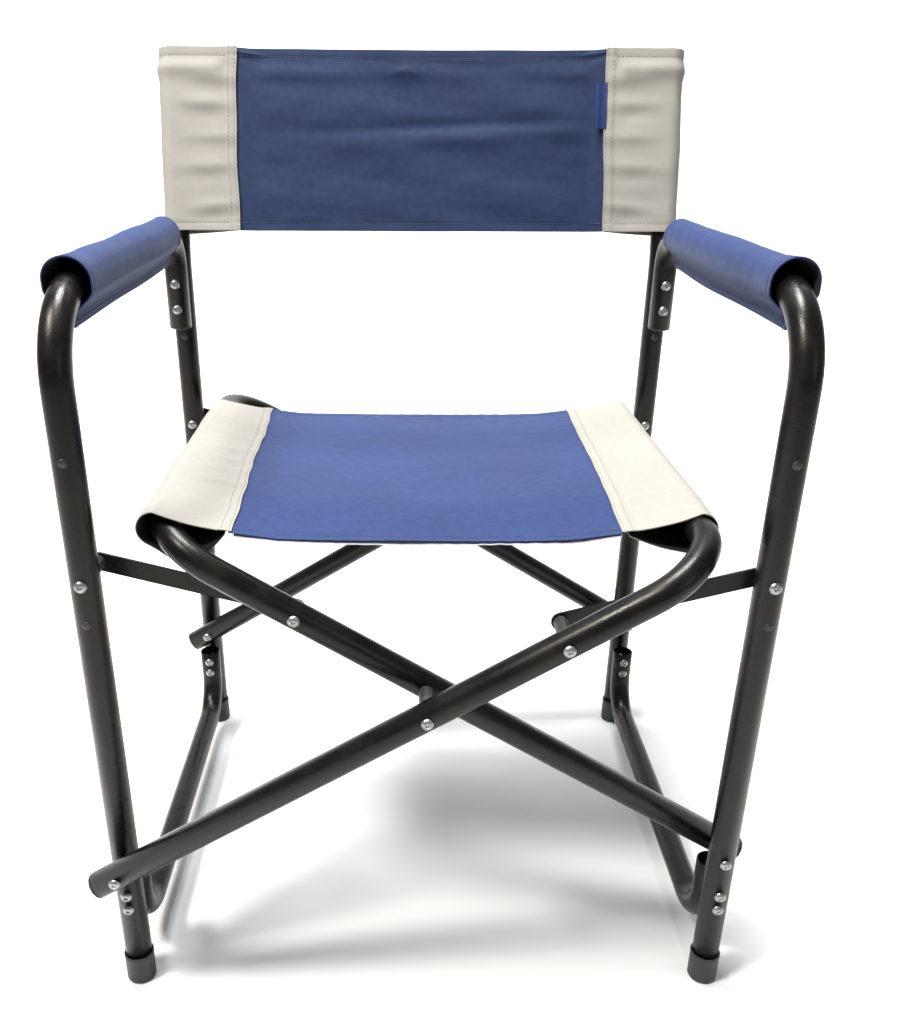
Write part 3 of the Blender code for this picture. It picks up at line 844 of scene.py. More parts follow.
# ---------------------------------------------------------------------------
# Cloth
# ---------------------------------------------------------------------------
def spaced(length: float, coarse: float, fine_ends: tuple[float, float], fine: float) -> np.ndarray:
    """Return stations from 0 to a length, closer together near each end.

    Args:
        length: the last station.
        coarse: spacing in the middle.
        fine_ends: how far the fine spacing reaches from the start and from the end.
        fine: spacing near the ends.

    Returns:
        The stations in order.
    """
    start, end = fine_ends
    parts = []
    if start > 0:
        parts.append(np.linspace(0, start, max(2, round(start / fine) + 1))[:-1])
    middle = length - start - end
    parts.append(np.linspace(start, length - end, max(2, round(middle / coarse) + 1)))
    if end > 0:
        parts.append(np.linspace(length - end, length, max(2, round(end / fine) + 1))[1:])
    return np.concatenate(parts)


def soft_noise(u: np.ndarray, v: np.ndarray, seed: int, scale: float) -> np.ndarray:
    """Return smooth wandering values near -1 to 1 over two coordinates, fixed by a seed."""
    random = np.random.default_rng(seed)
    total = np.zeros(np.broadcast(u, v).shape)
    for octave in range(3):
        for _ in range(4):
            angle = random.uniform(0, 2 * np.pi)
            rate = scale * 2 ** octave * random.uniform(0.7, 1.3)
            phase = random.uniform(0, 2 * np.pi)
            wave = np.sin((u * np.cos(angle) + v * np.sin(angle)) * rate * 2 * np.pi + phase)
            total = total + wave / (2.0 ** octave * 4)
    return total


def bell(x: np.ndarray, centre: float, width: float) -> np.ndarray:
    """Return a smooth bump of height 1."""
    return np.exp(-(((x - centre) / width) ** 2))


def step(x: np.ndarray, low: float, high: float) -> np.ndarray:
    """Return a smooth step from 0 at low to 1 at high."""
    t = np.clip((x - low) / (high - low), 0, 1)
    return t * t * (3 - 2 * t)


def grid(u: np.ndarray, v: np.ndarray) -> tuple[np.ndarray, np.ndarray]:
    """Return u and v at each point of their grid."""
    return tuple(np.meshgrid(u, v, indexing="ij"))


def grid_quads(rows: int, columns: int) -> tuple[np.ndarray, np.ndarray]:
    """Return the numbers of a grid's points and its quads."""
    index = np.arange(rows * columns).reshape(rows, columns)
    quads = np.stack([index[:-1, :-1], index[1:, :-1], index[1:, 1:], index[:-1, 1:]], axis=-1)
    return index, quads.reshape(-1, 4)


@dataclass
class Panel:
    """A sheet of cloth as a grid of points, with u across and v along, in metres."""

    name: str
    u: np.ndarray
    v: np.ndarray
    points: np.ndarray
    thickness: float = 0.0009

    def normals(self) -> np.ndarray:
        """Return the unit normal at each point of the grid."""
        du = np.gradient(self.points, self.u, axis=0)
        dv = np.gradient(self.points, self.v, axis=1)
        normal = np.cross(du, dv)
        return normal / np.linalg.norm(normal, axis=2)[:, :, None]

    def lift(self, height: np.ndarray) -> None:
        """Move the grid's points along their normals."""
        self.points = self.points + self.normals() * height[:, :, None]

    def line_u(self, at: float, above: float) -> np.ndarray:
        """Return the points of the line at one u, lifted off the face."""
        lifted = self.points + self.normals() * above
        return np.array([[np.interp(at, self.u, lifted[:, j, c]) for c in range(3)]
                         for j in range(len(self.v))])

    def line_v(self, at: float, above: float, span: tuple[float, float] | None = None) -> np.ndarray:
        """Return the points of the line at one v, lifted off the face, over a span of u."""
        lifted = self.points + self.normals() * above
        rows = [[np.interp(at, self.v, lifted[i, :, c]) for c in range(3)]
                for i in range(len(self.u)) if span is None or span[0] <= self.u[i] <= span[1]]
        return np.array(rows)

    def build(self, material: bpy.types.Material, inner_painted_shade: bpy.types.Material | None = None,
              shade_above: bool = False) -> bpy.types.Object:
        """Make the sheet a closed mesh with its flat map, in metres.

        Args:
            material: the cloth's finish.
            inner_painted_shade: a dark cloth finish painted on one face as shade, if any.
            shade_above: whether that painted-shade face is the one the normals point out of.

        Returns:
            The sheet's object.
        """
        index, quads = grid_quads(len(self.u), len(self.v))
        offset = self.normals() * (self.thickness / 2)
        top = (self.points + offset).reshape(-1, 3)
        bottom = (self.points - offset).reshape(-1, 3)
        count = index.size
        border = np.concatenate([index[1:, 0][::-1], index[0, :-1], index[:-1, -1], index[-1, 1:][::-1]])
        rim = [(int(a), int(b), int(b) + count, int(a) + count)
               for a, b in zip(border, np.roll(border, -1))]
        faces = quads.tolist() + (quads[:, ::-1] + count).tolist() + rim
        mesh = bpy.data.meshes.new(self.name)
        mesh.from_pydata(np.vstack([top, bottom]).tolist(), [], faces)
        flat = np.stack(grid(self.u, self.v), axis=-1).reshape(-1, 2)
        layer = mesh.uv_layers.new(name="flat")
        corners = np.zeros(len(mesh.loops), int)
        mesh.loops.foreach_get("vertex_index", corners)
        layer.data.foreach_set("uv", flat[corners % count].astype(np.float32).ravel())
        outward(mesh)
        smooth_mesh(mesh, 60.0)
        obj = add_object(self.name, mesh, material)
        # The dark finish on one face is painted shade.
        if inner_painted_shade is not None:
            mesh.materials.append(inner_painted_shade)
            half = len(quads)
            shade_faces = range(half) if shade_above else range(half, 2 * half)
            for face in shade_faces:
                mesh.polygons[face].material_index = 1
        return obj


@dataclass
class Drape:
    """Lets a panel settle as cloth with its side edges held."""

    frames: int = 14
    gravity: float = 0.6
    reach: float = 0.004

    def settle(self, panel: Panel) -> None:
        """Run the cloth simulation on a panel's grid and keep the settled points.

        Args:
            panel: the panel; its first and last u lines stay where they are.
        """
        index, quads = grid_quads(len(panel.u), len(panel.v))
        mesh = bpy.data.meshes.new("drape")
        mesh.from_pydata(panel.points.reshape(-1, 3).tolist(), [], quads.tolist())
        obj = add_object("drape", mesh)
        pins = obj.vertex_groups.new(name="held")
        pins.add([int(k) for k in np.concatenate([index[0], index[-1]])], 1.0, "REPLACE")
        cloth = obj.modifiers.new("cloth", "CLOTH")
        values = {"vertex_group_mass": "held", "quality": 6, "mass": 0.12, "tension_stiffness": 40,
                  "compression_stiffness": 40, "shear_stiffness": 12, "bending_stiffness": 2}
        for name, value in values.items():
            setattr(cloth.settings, name, value)
        cloth.settings.effector_weights.gravity = self.gravity
        cloth.point_cache.frame_start = 1
        cloth.point_cache.frame_end = self.frames
        scene = bpy.context.scene
        for frame in range(1, self.frames + 1):
            scene.frame_set(frame)
        graph = bpy.context.evaluated_depsgraph_get()
        settled = obj.evaluated_get(graph).to_mesh()
        out = np.zeros(len(settled.vertices) * 3, np.float32)
        settled.vertices.foreach_get("co", out)
        obj.evaluated_get(graph).to_mesh_clear()
        scene.frame_set(1)
        bpy.data.objects.remove(obj)
        change = out.reshape(panel.points.shape).astype(float) - panel.points
        length = np.linalg.norm(change, axis=2)[:, :, None]
        change *= np.minimum(1.0, self.reach / np.maximum(length, 1e-9))
        panel.points = panel.points + change
        LOG.info("%s settled by up to %.1f mm", panel.name, min(float(length.max()), self.reach) * 1000)


@dataclass
class Strip:
    """A cross-section line of a cloth strip, measured along its length."""

    line: np.ndarray

    def stations(self) -> np.ndarray:
        """Return the distance along the line at each of its points."""
        return np.concatenate([[0], np.cumsum(np.linalg.norm(np.diff(self.line, axis=0), axis=1))])

    def at(self, u: np.ndarray) -> np.ndarray:
        """Return the line's points at distances along it."""
        s = self.stations()
        return np.stack([np.interp(u, s, self.line[:, k]) for k in range(2)], axis=-1)


def loop_line(rail: float, seam: float, radius: float, top: Callable[[np.ndarray], np.ndarray],
              drop: float) -> np.ndarray:
    """Return half a strip's section: from the seam on top, out round a tube and back below.

    Args:
        rail: the tube's distance from the middle.
        seam: the seam's distance from the middle.
        radius: the loop's radius round the tube.
        top: height of the strip's top over the distance from the middle.
        drop: how far below the top the under layer meets the seam.

    Returns:
        Points as (distance from the middle, height), starting at the seam on top.
    """
    xs = np.linspace(seam, rail, 24)[:-1]
    over = np.stack([xs, top(xs)], axis=-1)
    angles = np.radians(np.linspace(90, -97, 40))
    round_tube = np.stack([rail + radius * np.cos(angles), radius * np.sin(angles)], axis=-1)
    foot = round_tube[-1]
    end = np.array([seam + 0.004, float(top(np.array(seam))) - drop])
    t = np.linspace(0, 1, 22)[1:]
    slack = 0.0025 * np.sin(np.pi * t)
    under = np.stack([foot[0] + (end[0] - foot[0]) * t, foot[1] + (end[1] - foot[1]) * t - slack], axis=-1)
    return np.vstack([over, round_tube, under])


@dataclass
class Seat:
    """The seat: a blue centre sewn between two pale sleeves that hold the rails."""

    finishes: Finishes
    sewing: Sewing
    sag: float = 0.0135
    seam: float = 0.1630
    widening: float = 0.008
    front_droop: float = 0.0085
    rail_bend: float = 0.060
    leave: float = -58.5
    hem: float = 0.0082
    creases: dict = field(default_factory=lambda: {
        -1: (0.0026, (0.10, 0.135, 0.165, 0.195, 0.235)), 1: (0.0010, (0.06, 0.12, 0.21))})

    def __post_init__(self) -> None:
        """Read the rails' and the cloth's places off the frame."""
        low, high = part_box("frame_a_tube")
        self.rail, self.rail_z = high.x - TUBE_RADIUS, high.z - TUBE_RADIUS
        low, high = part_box("seat_cloth")
        self.front, self.back = low.y, high.y

    def top(self, x: np.ndarray) -> np.ndarray:
        """Return the height of the seat above the rails' centre at a distance from the middle."""
        return LOOP_RADIUS - self.sag * (1 - np.abs(np.asarray(x) / self.rail) ** 5)

    def droop(self, x: np.ndarray, v: np.ndarray) -> np.ndarray:
        """Return how far the seat hangs lower towards its front edge."""
        share = np.clip(np.abs(x) / self.rail, 0, 1)
        return self.front_droop * (1 - step(v, 0.0, 0.085)) * (1 - share ** 4)

    def spread(self, v: np.ndarray) -> np.ndarray:
        """Return how much further out the seams stand at a distance from the front."""
        return self.widening * v / (self.back - self.front)

    def room(self, y: np.ndarray, way: int) -> np.ndarray:
        """Return how far a sleeve's underside must stand away from the bending rail.

        Args:
            y: places along the seat.
            way: +1 for the rail at +X, -1 for the one at -X.

        Returns:
            The extra room at each place.
        """
        low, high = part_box("frame_a_tube" if way > 0 else "frame_b_tube")
        bend, radius = self.rail_bend, TUBE_RADIUS
        into = np.maximum(low.y + radius + bend - y, y - (high.y - radius - bend))
        into = np.clip(into, 0, bend * 0.9)
        lean = np.sqrt(1 - (into / bend) ** 2)
        need = bend * (1 - lean) + radius * (1 / lean - 1)
        loose = 0.007 * (1 - step(y, self.front, self.front + 0.09))
        return np.maximum(need + 0.0015, loose) + 0.001

    def stations(self) -> np.ndarray:
        """Return the stations along the seat from front to back."""
        return spaced(self.back - self.front, 0.0036, (0.014, 0.014), 0.0014)

    def seam_wander(self, v: np.ndarray, way: int) -> np.ndarray:
        """Return how far the seam wanders across the seat."""
        size = 1.0 if way < 0 else 0.4
        return size * (0.0010 * np.sin(v * 34 + 2) + 0.0005 * np.sin(v * 117))

    def centre(self) -> Panel:
        """Build the blue centre."""
        half = self.seam + 0.004
        u = spaced(2 * half, 0.0034, (0.012, 0.012), 0.0016)
        v = self.stations()
        x = (u - half)[:, None] * (1 + self.spread(v) / half)[None, :]
        y = self.front + v[None, :] + np.zeros(len(u))[:, None]
        z = self.rail_z + self.top(x) - self.droop(x, v[None, :])
        z -= 0.0011 * step(np.abs(x), self.seam - 0.003, self.seam + 0.001)
        panel = Panel("seat_centre", u, v, np.stack([x, y, z], axis=-1))
        Drape().settle(panel)
        uu, vv = grid(u, v)
        ends = np.minimum(vv, v[-1] - vv)
        height = 0.0009 * soft_noise(uu, vv, 11, 5.0)
        height += 0.0004 * bell(ends, 0.0, 0.0065) - 0.00045 * bell(ends, self.hem, STITCH_GROOVE)
        pucker = np.sin(uu * 2 * np.pi / 0.015 + 3 * soft_noise(uu, vv * 0, 4, 8.0) + 60 * (vv - 0.01))
        patch = 0.35 + 0.65 * bell(uu, 0.235, 0.055)
        height += 0.0006 * pucker * patch * bell(ends, 0.011, 0.011)
        inner = step(half - np.abs(uu - half), 0.0, 0.03)
        panel.lift(height * inner + 0.0002)
        return panel

    def sleeve(self, way: int) -> Panel:
        """Build the pale sleeve at +X (way 1) or -X (way -1)."""
        v = self.stations()
        rooms = self.room(self.front + v, way)
        over = Strip(self.outside())
        first = float(over.stations()[-1])
        unders = [Strip(self.underside(float(room))) for room in rooms]
        second = float(np.median([under.stations()[-1] for under in unders]))
        u = spaced(first + second, 0.0030, (0.016, 0.010), 0.0011)
        outer = u <= first
        share = (u[~outer] - first) / second
        section = np.stack([np.vstack([over.at(u[outer]), under.at(share * under.stations()[-1])])
                            for under in unders], axis=1)
        fade = 1 - step(u, 0.0, 0.05)[:, None]
        x = way * (section[:, :, 0] + (self.seam_wander(v, way) + self.spread(v))[None, :] * fade)
        y = self.front + v[None, :] + np.zeros(len(u))[:, None]
        z = self.rail_z + section[:, :, 1] - self.droop(x, v[None, :])
        panel = Panel(f"seat_{SIDES[way]}_sleeve", u, v, np.stack([x, y, z], axis=-1))
        uu, vv = grid(u, v)
        panel.lift(self.relief(uu, vv, way) * way)
        return panel

    def outside(self) -> np.ndarray:
        """Return the sleeve's section from the seam on top round the rail to its underside."""
        xs = np.linspace(self.seam, self.rail, 24)[:-1]
        over = np.stack([xs, self.top(xs)], axis=-1)
        angles = np.radians(np.linspace(90, self.leave, 36))
        out, up = LOOP_RADIUS * np.cos(angles), LOOP_RADIUS * np.sin(angles)
        round_tube = np.stack([self.rail + out, up], axis=-1)
        return np.vstack([over, round_tube])

    def underside(self, room: float) -> np.ndarray:
        """Return the sleeve's section from where it leaves the rail back to the seam.

        Args:
            room: how far the underside stands away from the rail.

        Returns:
            Points as (distance from the middle, height above the rail's centre).
        """
        away = math.radians(self.leave - 90)
        shift = np.array([math.cos(away), math.sin(away)]) * room
        centre = np.array([self.rail, 0.0]) + shift
        end = np.array([self.seam + 0.007, float(self.top(np.array(self.seam))) - 0.0034])
        reach = end - centre
        toward = math.atan2(reach[1], reach[0]) - 2 * math.pi
        toward += math.acos(LOOP_RADIUS / np.linalg.norm(reach))
        angles = np.linspace(math.radians(self.leave), toward, 24)
        ring = centre + LOOP_RADIUS * np.stack([np.cos(angles), np.sin(angles)], axis=-1)
        start = np.array([self.rail, 0.0]) + LOOP_RADIUS * np.array([np.cos(angles[0]), np.sin(angles[0])])
        t = np.linspace(0, 1, 14)[1:, None]
        slack = np.hstack([t * 0, 0.0012 * np.sin(np.pi * t)])
        return np.vstack([start, ring, ring[-1] + (end - ring[-1]) * t - slack])

    def relief(self, u: np.ndarray, v: np.ndarray, way: int) -> np.ndarray:
        """Return the sleeve's felled band, stitch grooves and creases as heights."""
        width = self.rail - self.seam
        band = 0.0008 * (1 - step(u, SEAM_BAND, SEAM_BAND + 0.0016))
        grooves = 0.00045 * sum(bell(u, at, 0.0008) for at in SEAM_ROWS)
        creases = np.zeros_like(u)
        depth, centres = self.creases[way]
        for k, centre in enumerate(centres):
            tilt = centre + (u - width / 2) * (0.10 - 0.05 * k)
            reach = bell(u, width * (0.42 + 0.06 * (k % 2)), width * 0.42)
            fold = bell(v, tilt, 0.0065) - 0.5 * bell(v, tilt + 0.012, 0.009)
            creases += depth * (1 - 0.2 * (k % 3)) * fold * reach
        calm = 0.0007 * soft_noise(u, v, 21 + way, 8.0) * step(u, SEAM_BAND, SEAM_BAND + 0.02)
        return band - grooves + creases + calm

    def tape(self, centre: Panel) -> Panel:
        """Build the light tape under the front hem, which follows the centre's edge."""
        columns = int(np.searchsorted(centre.v, 0.0125))
        inside = np.abs(centre.u - centre.u[-1] / 2) <= self.seam
        u, v = centre.u[inside] - centre.u[inside][0], centre.v[:columns]
        uu, vv = grid(u, v)
        fade = 1 - step(vv, 0.0, 0.010)
        droop = (0.0010 + 0.0015 * np.abs(soft_noise(uu, vv * 0, 33, 6.0))) * fade
        below = centre.normals()[inside, :columns] * (0.0011 + droop)[:, :, None]
        points = centre.points[inside, :columns] - below
        points[:, :, 1] -= 0.0009 * fade
        return Panel("seat_front_tape", u, v, points, 0.0007)

    def bend(self, piece: bpy.types.Object) -> None:
        """Bake a piece's placement into its mesh."""
        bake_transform(piece)

    def build(self) -> None:
        """Build the seat's panels, hems and stitches."""
        finishes, sewing = self.finishes, self.sewing
        centre, left, right = self.centre(), self.sleeve(-1), self.sleeve(1)
        tape = self.tape(centre)
        depth = self.back - self.front
        pale_lines = [panel.line_u(at, STITCH_ABOVE * sign) for panel, sign in ((left, -1), (right, 1))
                      for at in SEAM_ROWS]
        blue_lines = [centre.line_v(at, STITCH_ABOVE) for at in (self.hem, depth - self.hem)]
        # The sleeves' inner faces take the dark cloth, which is painted shade.
        pale, inner_painted_shade = finishes.pale, finishes.inner_painted_shade
        pieces = [(centre, finishes.blue, None, Slot.BLUE), (left, pale, inner_painted_shade, Slot.PALE),
                  (right, pale, inner_painted_shade, Slot.PALE), (tape, finishes.tape, None, Slot.PALE)]
        built = {}
        for panel, material, inner_painted_shade, slot in pieces:
            obj = panel.build(material, inner_painted_shade, panel is left)
            built[panel.name] = obj
        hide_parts("seat_cloth")
        pale_rows = sewing.rows("seat_seam_stitches", pale_lines, finishes.pale_thread, Slot.PALE)
        blue_rows = sewing.rows("seat_hem_stitches", blue_lines, finishes.blue_thread, Slot.BLUE)
        for obj in (*built.values(), pale_rows, blue_rows):
            self.bend(obj)
        LOG.info("seat built")


@dataclass
class Back:
    """The back: a blue centre sewn between two pale sleeves that hold the leaning posts."""

    finishes: Finishes
    sewing: Sewing
    seam: float = 0.2045
    hem: float = 0.0085
    folded: float = 0.059
    label_size: tuple = (0.0125, 0.048)
    label_drop: float = 0.036
    creases: tuple = (0.14, 0.36, 0.52, 0.70, 0.84)
    crease_depth: float = 0.0014

    def __post_init__(self) -> None:
        """Read the posts' and the cloth's places off the frame."""
        low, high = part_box("right_back_post")
        self.post_x = (low.x + high.x) / 2
        post_y = low.y + TUBE_RADIUS
        low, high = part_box("back_cloth")
        self.low_z = low.z + LOOP_RADIUS * math.sin(LEAN)
        self.height = (high.z - low.z - 2 * LOOP_RADIUS * math.sin(LEAN)) / math.cos(LEAN)
        self.origin_y = post_y + (self.low_z - POST_BEND_Z) * math.tan(LEAN)

    def place(self, x: np.ndarray, depth: np.ndarray, v: np.ndarray) -> np.ndarray:
        """Return points from the place across, the distance in front of the posts and the height."""
        y = self.origin_y - depth * math.cos(LEAN) + v * math.sin(LEAN)
        z = self.low_z + depth * math.sin(LEAN) + v * math.cos(LEAN)
        return np.stack(np.broadcast_arrays(x, y, z), axis=-1)

    def seam_wander(self, v: np.ndarray) -> np.ndarray:
        """Return how far the seam leans and wanders across the back."""
        return 0.0014 * np.sin(v * 22 + 0.6) + 0.0005 * np.sin(v * 75)

    def stations(self) -> np.ndarray:
        """Return the stations up the back."""
        return spaced(self.height, 0.0034, (0.013, 0.013), 0.0013)

    def centre(self) -> Panel:
        """Build the blue centre, which reaches under both seams."""
        under = 0.009
        half = self.seam + under
        u = spaced(2 * half, 0.0036, (0.014, 0.014), 0.0018)
        v = self.stations()
        uu, vv = grid(u, v)
        x = uu - half
        tuck = 0.0013 * step(np.abs(x), self.seam - 0.004, self.seam)
        panel = Panel("back_centre", u, v, self.place(x, LOOP_RADIUS - tuck, vv))
        Drape(gravity=0.3).settle(panel)
        ends = np.minimum(vv, v[-1] - vv)
        height = 0.0016 * soft_noise(uu * 0.35, vv, 7, 11.0)
        height += 0.0020 * bell(vv, 0.098 + 0.05 * (uu - half), 0.010) * bell(uu, 0.28, 0.16)
        height -= 0.0016 * bell(vv, 0.112 + 0.04 * (uu - half), 0.006) * bell(uu, 0.24, 0.13)
        height += 0.0016 * bell(vv, self.height - 0.026, 0.008) * (0.7 + 0.3 * np.sin(uu * 18))
        height += 0.0011 * bell(vv, 0.172 - 0.3 * np.abs(uu - 0.195), 0.0022) * bell(uu, 0.195, 0.014)
        height += 0.0003 * bell(ends, 0.0, 0.006) - 0.00045 * bell(ends, self.hem, STITCH_GROOVE)
        inner = step(half - np.abs(x), under, under + 0.035)
        panel.lift(height * inner)
        return panel

    def sleeve(self, way: int) -> Panel:
        """Build the pale sleeve at +X (way 1) or -X (way -1)."""
        def level(x: np.ndarray) -> np.ndarray:
            """Return the front layer's distance from the posts' centre."""
            return LOOP_RADIUS + np.asarray(x) * 0.0

        strip = Strip(loop_line(self.post_x, self.seam, LOOP_RADIUS, level, 0.0034))
        length = float(strip.stations()[-1])
        u = spaced(length, 0.0030, (0.015, 0.010), 0.0011)
        v = self.stations()
        section = strip.at(u)
        fade = 1 - step(u, 0.0, 0.06)
        x = way * (section[:, 0][:, None] + fade[:, None] * self.seam_wander(v + 0.05 * way)[None, :])
        points = self.place(x, section[:, 1][:, None], v[None, :])
        panel = Panel(f"back_{SIDES[way]}_sleeve", u, v, points)
        uu, vv = grid(u, v)
        panel.lift(self.relief(uu, vv, way) * way)
        return panel

    def relief(self, u: np.ndarray, v: np.ndarray, way: int) -> np.ndarray:
        """Return the sleeve's felled band, hems, stitch grooves and creases as heights."""
        width = self.post_x - self.seam
        band = 0.0007 * (1 - step(u, SEAM_BAND, SEAM_BAND + 0.0015))
        grooves = 0.0004 * sum(bell(u, at, 0.0008) for at in SEAM_ROWS)
        ends = np.minimum(v, self.height - v)
        hems = 0.0003 * bell(ends, 0.0, 0.006) - 0.0004 * bell(ends, self.hem, STITCH_GROOVE)
        creases = np.zeros_like(u)
        for k, share in enumerate(self.creases):
            slope = 0.16 * (share - 0.5) * (1 if k % 2 else 1.6)
            middle = self.height * share + (u - width * 0.3) * slope
            reach = bell(u, width * (0.36 + 0.1 * (k % 2)), width * (0.36 + 0.05 * (k % 3)))
            fold = bell(v, middle, 0.0062) - 0.6 * bell(v, middle - 0.0115, 0.008)
            creases += (self.crease_depth - 0.0002 * (k % 3)) * fold * reach
        roll = 0.0024 * bell(v, self.height - 0.021, 0.007) * step(u, SEAM_BAND, SEAM_BAND + 0.015)
        calm = 0.0007 * soft_noise(u, v, 41 + way, 9.0)
        return band - grooves + hems + creases + roll + calm * step(u, SEAM_BAND, SEAM_BAND + 0.02)

    def label(self) -> bpy.types.Object:
        """Build the blank label sewn into the right seam."""
        width, height = self.label_size
        u, v = np.linspace(0, width, 8), np.linspace(0, height, 20)
        uu, vv = grid(u, v)
        x = self.seam - 0.0115 + uu
        low = self.height - self.label_drop - height
        curl = 0.0016 * (1 - step(uu, 0.0, 0.009)) + 0.0004 * np.sin(vv * 90)
        points = self.place(x, LOOP_RADIUS + 0.0014 + curl, low + vv)
        return Panel("back_label", u, v, points, 0.0008).build(self.finishes.label)

    def build(self) -> None:
        """Build the back's panels, hems and stitches."""
        finishes, sewing = self.finishes, self.sewing
        centre, left, right = self.centre(), self.sleeve(-1), self.sleeve(1)
        # The back's centre takes the darker navy copy, which is painted shade.
        middle = centre.build(finishes.back_painted_shade_blue)
        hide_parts("back_cloth")
        ends = (self.hem, self.height - self.hem)
        hems = [centre.line_v(at, STITCH_ABOVE, (0.012, float(centre.u[-1]) - 0.012)) for at in ends]
        hem_rows = sewing.rows("back_hem_stitches", hems, finishes.blue_thread, Slot.BLUE)
        label = self.label()
        for piece in (middle, hem_rows):
            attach(piece, Body.LEFT.value)
            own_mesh(piece)
        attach(label, Body.RIGHT.value)
        for panel, sign, body in ((left, -1, Body.LEFT), (right, 1, Body.RIGHT)):
            side = SIDES[sign]
            lines = [panel.line_u(at, STITCH_ABOVE * sign) for at in SEAM_ROWS]
            span = (0.013, self.post_x - self.seam + 0.02)
            lines += [panel.line_v(at, STITCH_ABOVE * sign, span) for at in ends]
            sleeve = panel.build(finishes.pale)
            rows = sewing.rows(f"back_{side}_stitches", lines, finishes.pale_thread, Slot.PALE)
            claim(sleeve, body.value, Slot.PALE)
            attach(rows, body.value)
        LOG.info("back built")


@dataclass
class ArmWrap:
    """The cloth wrap on one arm: a loose loop that hangs from the tube to a sewn flange below."""

    finishes: Finishes
    sewing: Sewing
    side: str
    body: Body
    half_width: float = 0.0176
    crown: float = 0.0225
    flange: float = 0.007
    front_flare: float = 0.0012
    overhang: float = 0.006
    hem: float = 0.0072
    flange_stitch: float = 0.0045

    def build(self) -> None:
        """Build the wrap and its stitches."""
        node = self.side + "_arm_sleeve"
        low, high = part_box(node)
        x_mid = (low.x + high.x) / 2
        arm_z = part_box(self.side + "_leg_and_arm_tube")[1].z - TUBE_RADIUS
        top, bottom = self.crown, low.z - arm_z
        r = self.half_width
        angles = np.radians(np.linspace(0, 180, 40))
        crown = np.stack([r * np.cos(angles), top - r + r * np.sin(angles)], axis=-1)
        t = np.linspace(0, 1, 20)
        knee = bottom + self.flange
        wall = np.stack([r * (1 - step(t, 0.25, 1.0) * 0.93), (top - r) + (knee - top + r) * t], axis=-1)
        tail = np.array([[r * 0.07, knee - self.flange * 0.5], [r * 0.07, bottom]])
        right = np.vstack([tail[::-1], wall[::-1][:-1]])
        left = right[::-1] * np.array([-1, 1])
        strip = Strip(np.vstack([right, crown, left]))
        length = float(strip.stations()[-1])
        u = spaced(length, 0.0026, (0.012, 0.012), 0.0013)
        front = low.y - self.overhang
        v = spaced(high.y - front, 0.0036, (0.013, 0.013), 0.0013)
        section = strip.at(u)
        uu, vv = grid(u, v)
        along = vv / v[-1]
        flare = 1 + self.front_flare / r * (1 - step(vv, 0.0, 0.05)) - 0.06 * step(along, 0.7, 1.0)
        lift = 0.0015 * (1 - step(vv, 0.0, 0.04))
        hang = np.clip((top - section[:, 1]) / (top - bottom), 0, 1)[:, None]
        sway = 0.0015 * np.sin(vv * 19 + (2 if self.side == "left" else 0)) * hang
        rise = 0.003 * step(along, 0.55, 1.0) * hang
        x = x_mid + section[:, 0][:, None] * flare + sway
        z = arm_z + section[:, 1][:, None] + lift * (1 - hang) + rise
        panel = Panel(self.side + "_arm_wrap", u, v, np.stack([x, front + vv, z], axis=-1), 0.0012)
        ends = np.minimum(vv, v[-1] - vv)
        seams = np.minimum(uu, length - uu)
        height = 0.0008 * soft_noise(uu, vv * 0.7, 51 + len(self.side), 9.0) * step(seams, 0.006, 0.02)
        height += 0.0004 * bell(ends, 0.0, 0.005) - 0.00045 * bell(ends, self.hem, STITCH_GROOVE)
        panel.lift(-height)
        # The wrap's inner face takes the dark cloth, which is painted shade.
        wrap = panel.build(self.finishes.blue, self.finishes.inner_painted_shade, True)
        above = -0.0007
        lines = [panel.line_v(at, above) for at in (self.hem, float(v[-1]) - self.hem)]
        lines += [panel.line_u(self.flange_stitch, above)]
        rows = self.sewing.rows(self.side + "_arm_stitches", lines, self.finishes.blue_thread, Slot.BLUE)
        claim(wrap, self.body.value, Slot.BLUE, node)
        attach(rows, self.body.value)
        LOG.info("%s arm wrap built", self.side)


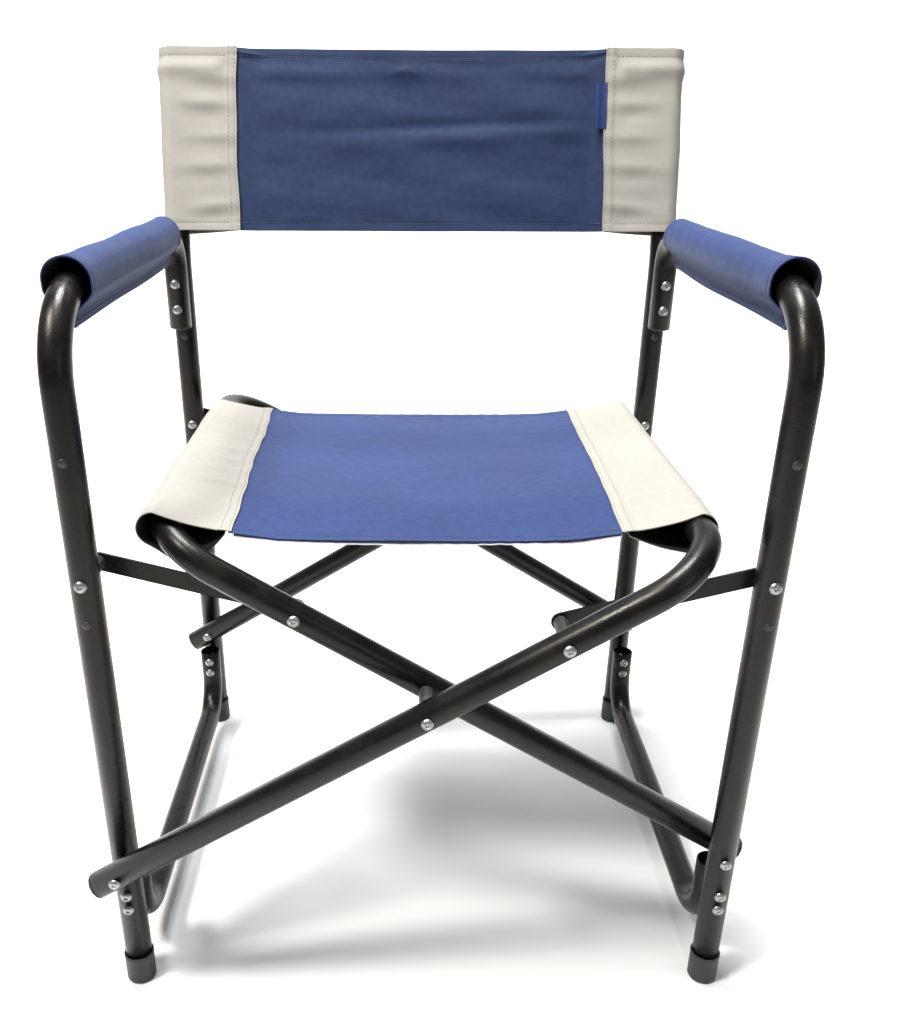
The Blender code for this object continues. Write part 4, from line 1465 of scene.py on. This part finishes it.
# ---------------------------------------------------------------------------
# Stage
# ---------------------------------------------------------------------------
@dataclass
class Stage:
    """Floor, light and camera."""

    eye: tuple = (-0.023, -0.960, 0.768)
    pitch: float = math.radians(24.6)
    yaw: float = 0.0047
    roll: float = 0.0041
    lens: float = 34.2
    shift: tuple = (0.053, 0.053)

    def floor(self) -> None:
        """Build a pale floor that curves up into a backdrop."""
        radius, depth, wall, width = 1.5, 3.2, 5.0, 9.0
        line = [(-7.0, 0.0), (depth, 0.0)]
        for k in range(1, 25):
            angle = math.pi / 2 * k / 24
            line.append((depth + radius * math.sin(angle), radius * (1 - math.cos(angle))))
        line.append((depth + radius, wall))
        verts = [(x, y, z) for y, z in line for x in (-width, width)]
        faces = [(2 * k, 2 * k + 1, 2 * k + 3, 2 * k + 2) for k in range(len(line) - 1)]
        mesh = bpy.data.meshes.new("floor")
        mesh.from_pydata(verts, [], faces)
        mesh.shade_smooth()
        material, nodes, shader = new_material("pale_floor")
        fill_shader(shader, {
            "Base Color": nodes.tone(nodes.noise(nodes.place(), 1.2, 2.0), 0.3, 0.7, (0.80, 0.80, 0.79),
                                     (0.83, 0.83, 0.82)),
            "Roughness": 0.85, "Specular IOR Level": 0.1})
        add_object("floor", mesh, material)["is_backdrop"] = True

    @staticmethod
    def lamp(name: str, place: tuple, aim: tuple, size: tuple, power: float, colour: tuple) -> None:
        """Hang a soft rectangular lamp that faces a point."""
        light = bpy.data.lights.new(name, "AREA")
        light.shape = "RECTANGLE"
        light.size, light.size_y = size
        light.energy = power
        light.color = colour
        obj = bpy.data.objects.new(name, light)
        obj.location = place
        obj.rotation_euler = (Vector(aim) - Vector(place)).to_track_quat("-Z", "Y").to_euler()
        bpy.context.scene.collection.objects.link(obj)

    def lights(self) -> None:
        """Light the chair from overhead, from the left and with a weak fill from the front."""
        aim, white = (0.0, 0.0, 0.45), (1.0, 1.0, 1.0)
        self.lamp("key", (-1.3, -0.9, 2.7), aim, (0.5, 0.4), 95.0, (1.0, 0.97, 0.93))
        self.lamp("top", (-0.2, 0.3, 3.0), aim, (0.9, 0.7), 150.0, (0.97, 0.985, 1.0))
        self.lamp("fill", (1.9, -2.2, 1.4), aim, (1.0, 1.0), 5.0, white)
        self.lamp("backdrop", (0.0, 1.9, 3.4), (0.0, 4.4, 0.9), (5.0, 1.0), 230.0, white)
        world = bpy.data.worlds.new("studio")
        world.use_nodes = True
        background = world.node_tree.nodes["Background"]
        background.inputs[0].default_value = (0.95, 0.97, 1.0, 1.0)
        background.inputs[1].default_value = 0.22
        bpy.context.scene.world = world

    def camera(self) -> None:
        """Place the camera."""
        data = bpy.data.cameras.new("camera")
        data.lens = self.lens
        data.sensor_width = 36.0
        data.shift_x, data.shift_y = self.shift
        data.clip_start, data.clip_end = 0.05, 60.0
        obj = bpy.data.objects.new("camera", data)
        obj.location = self.eye
        turn = Matrix.Rotation(-self.yaw, 4, "Z") @ Matrix.Rotation(math.pi / 2 - self.pitch, 4, "X")
        obj.rotation_euler = (turn @ Matrix.Rotation(self.roll, 4, "Z")).to_euler()
        bpy.context.scene.collection.objects.link(obj)
        bpy.context.scene.camera = obj

    def build(self) -> None:
        """Build the stage."""
        self.floor()
        self.lights()
        self.camera()
        bpy.context.scene.view_settings.view_transform = "Standard"


def clear_scene() -> None:
    """Remove the objects that the file opened with."""
    for obj in list(bpy.data.objects):
        bpy.data.objects.remove(obj, do_unlink=True)


def corners() -> list[list[float]]:
    """Return the shown object's lowest and highest corners as plain lists."""
    return [list(corner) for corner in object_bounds()]


def main() -> None:
    """Build the chair's looks around its frame."""
    logging.basicConfig(level=logging.INFO, format="%(name)s: %(message)s")
    clear_scene()
    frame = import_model()
    Stage().build()
    finishes = Finishes()
    sewing = Sewing(finishes)
    steelwork = Steelwork(finishes)
    steelwork.build(frame)
    Seat(finishes, sewing).build()
    Back(finishes, sewing).build()
    for side, body in (("left", Body.LEFT), ("right", Body.RIGHT)):
        ArmWrap(finishes, sewing, side, body).build()
    steelwork.dress(frame["nodes"])


if __name__ == "__main__":
    main()
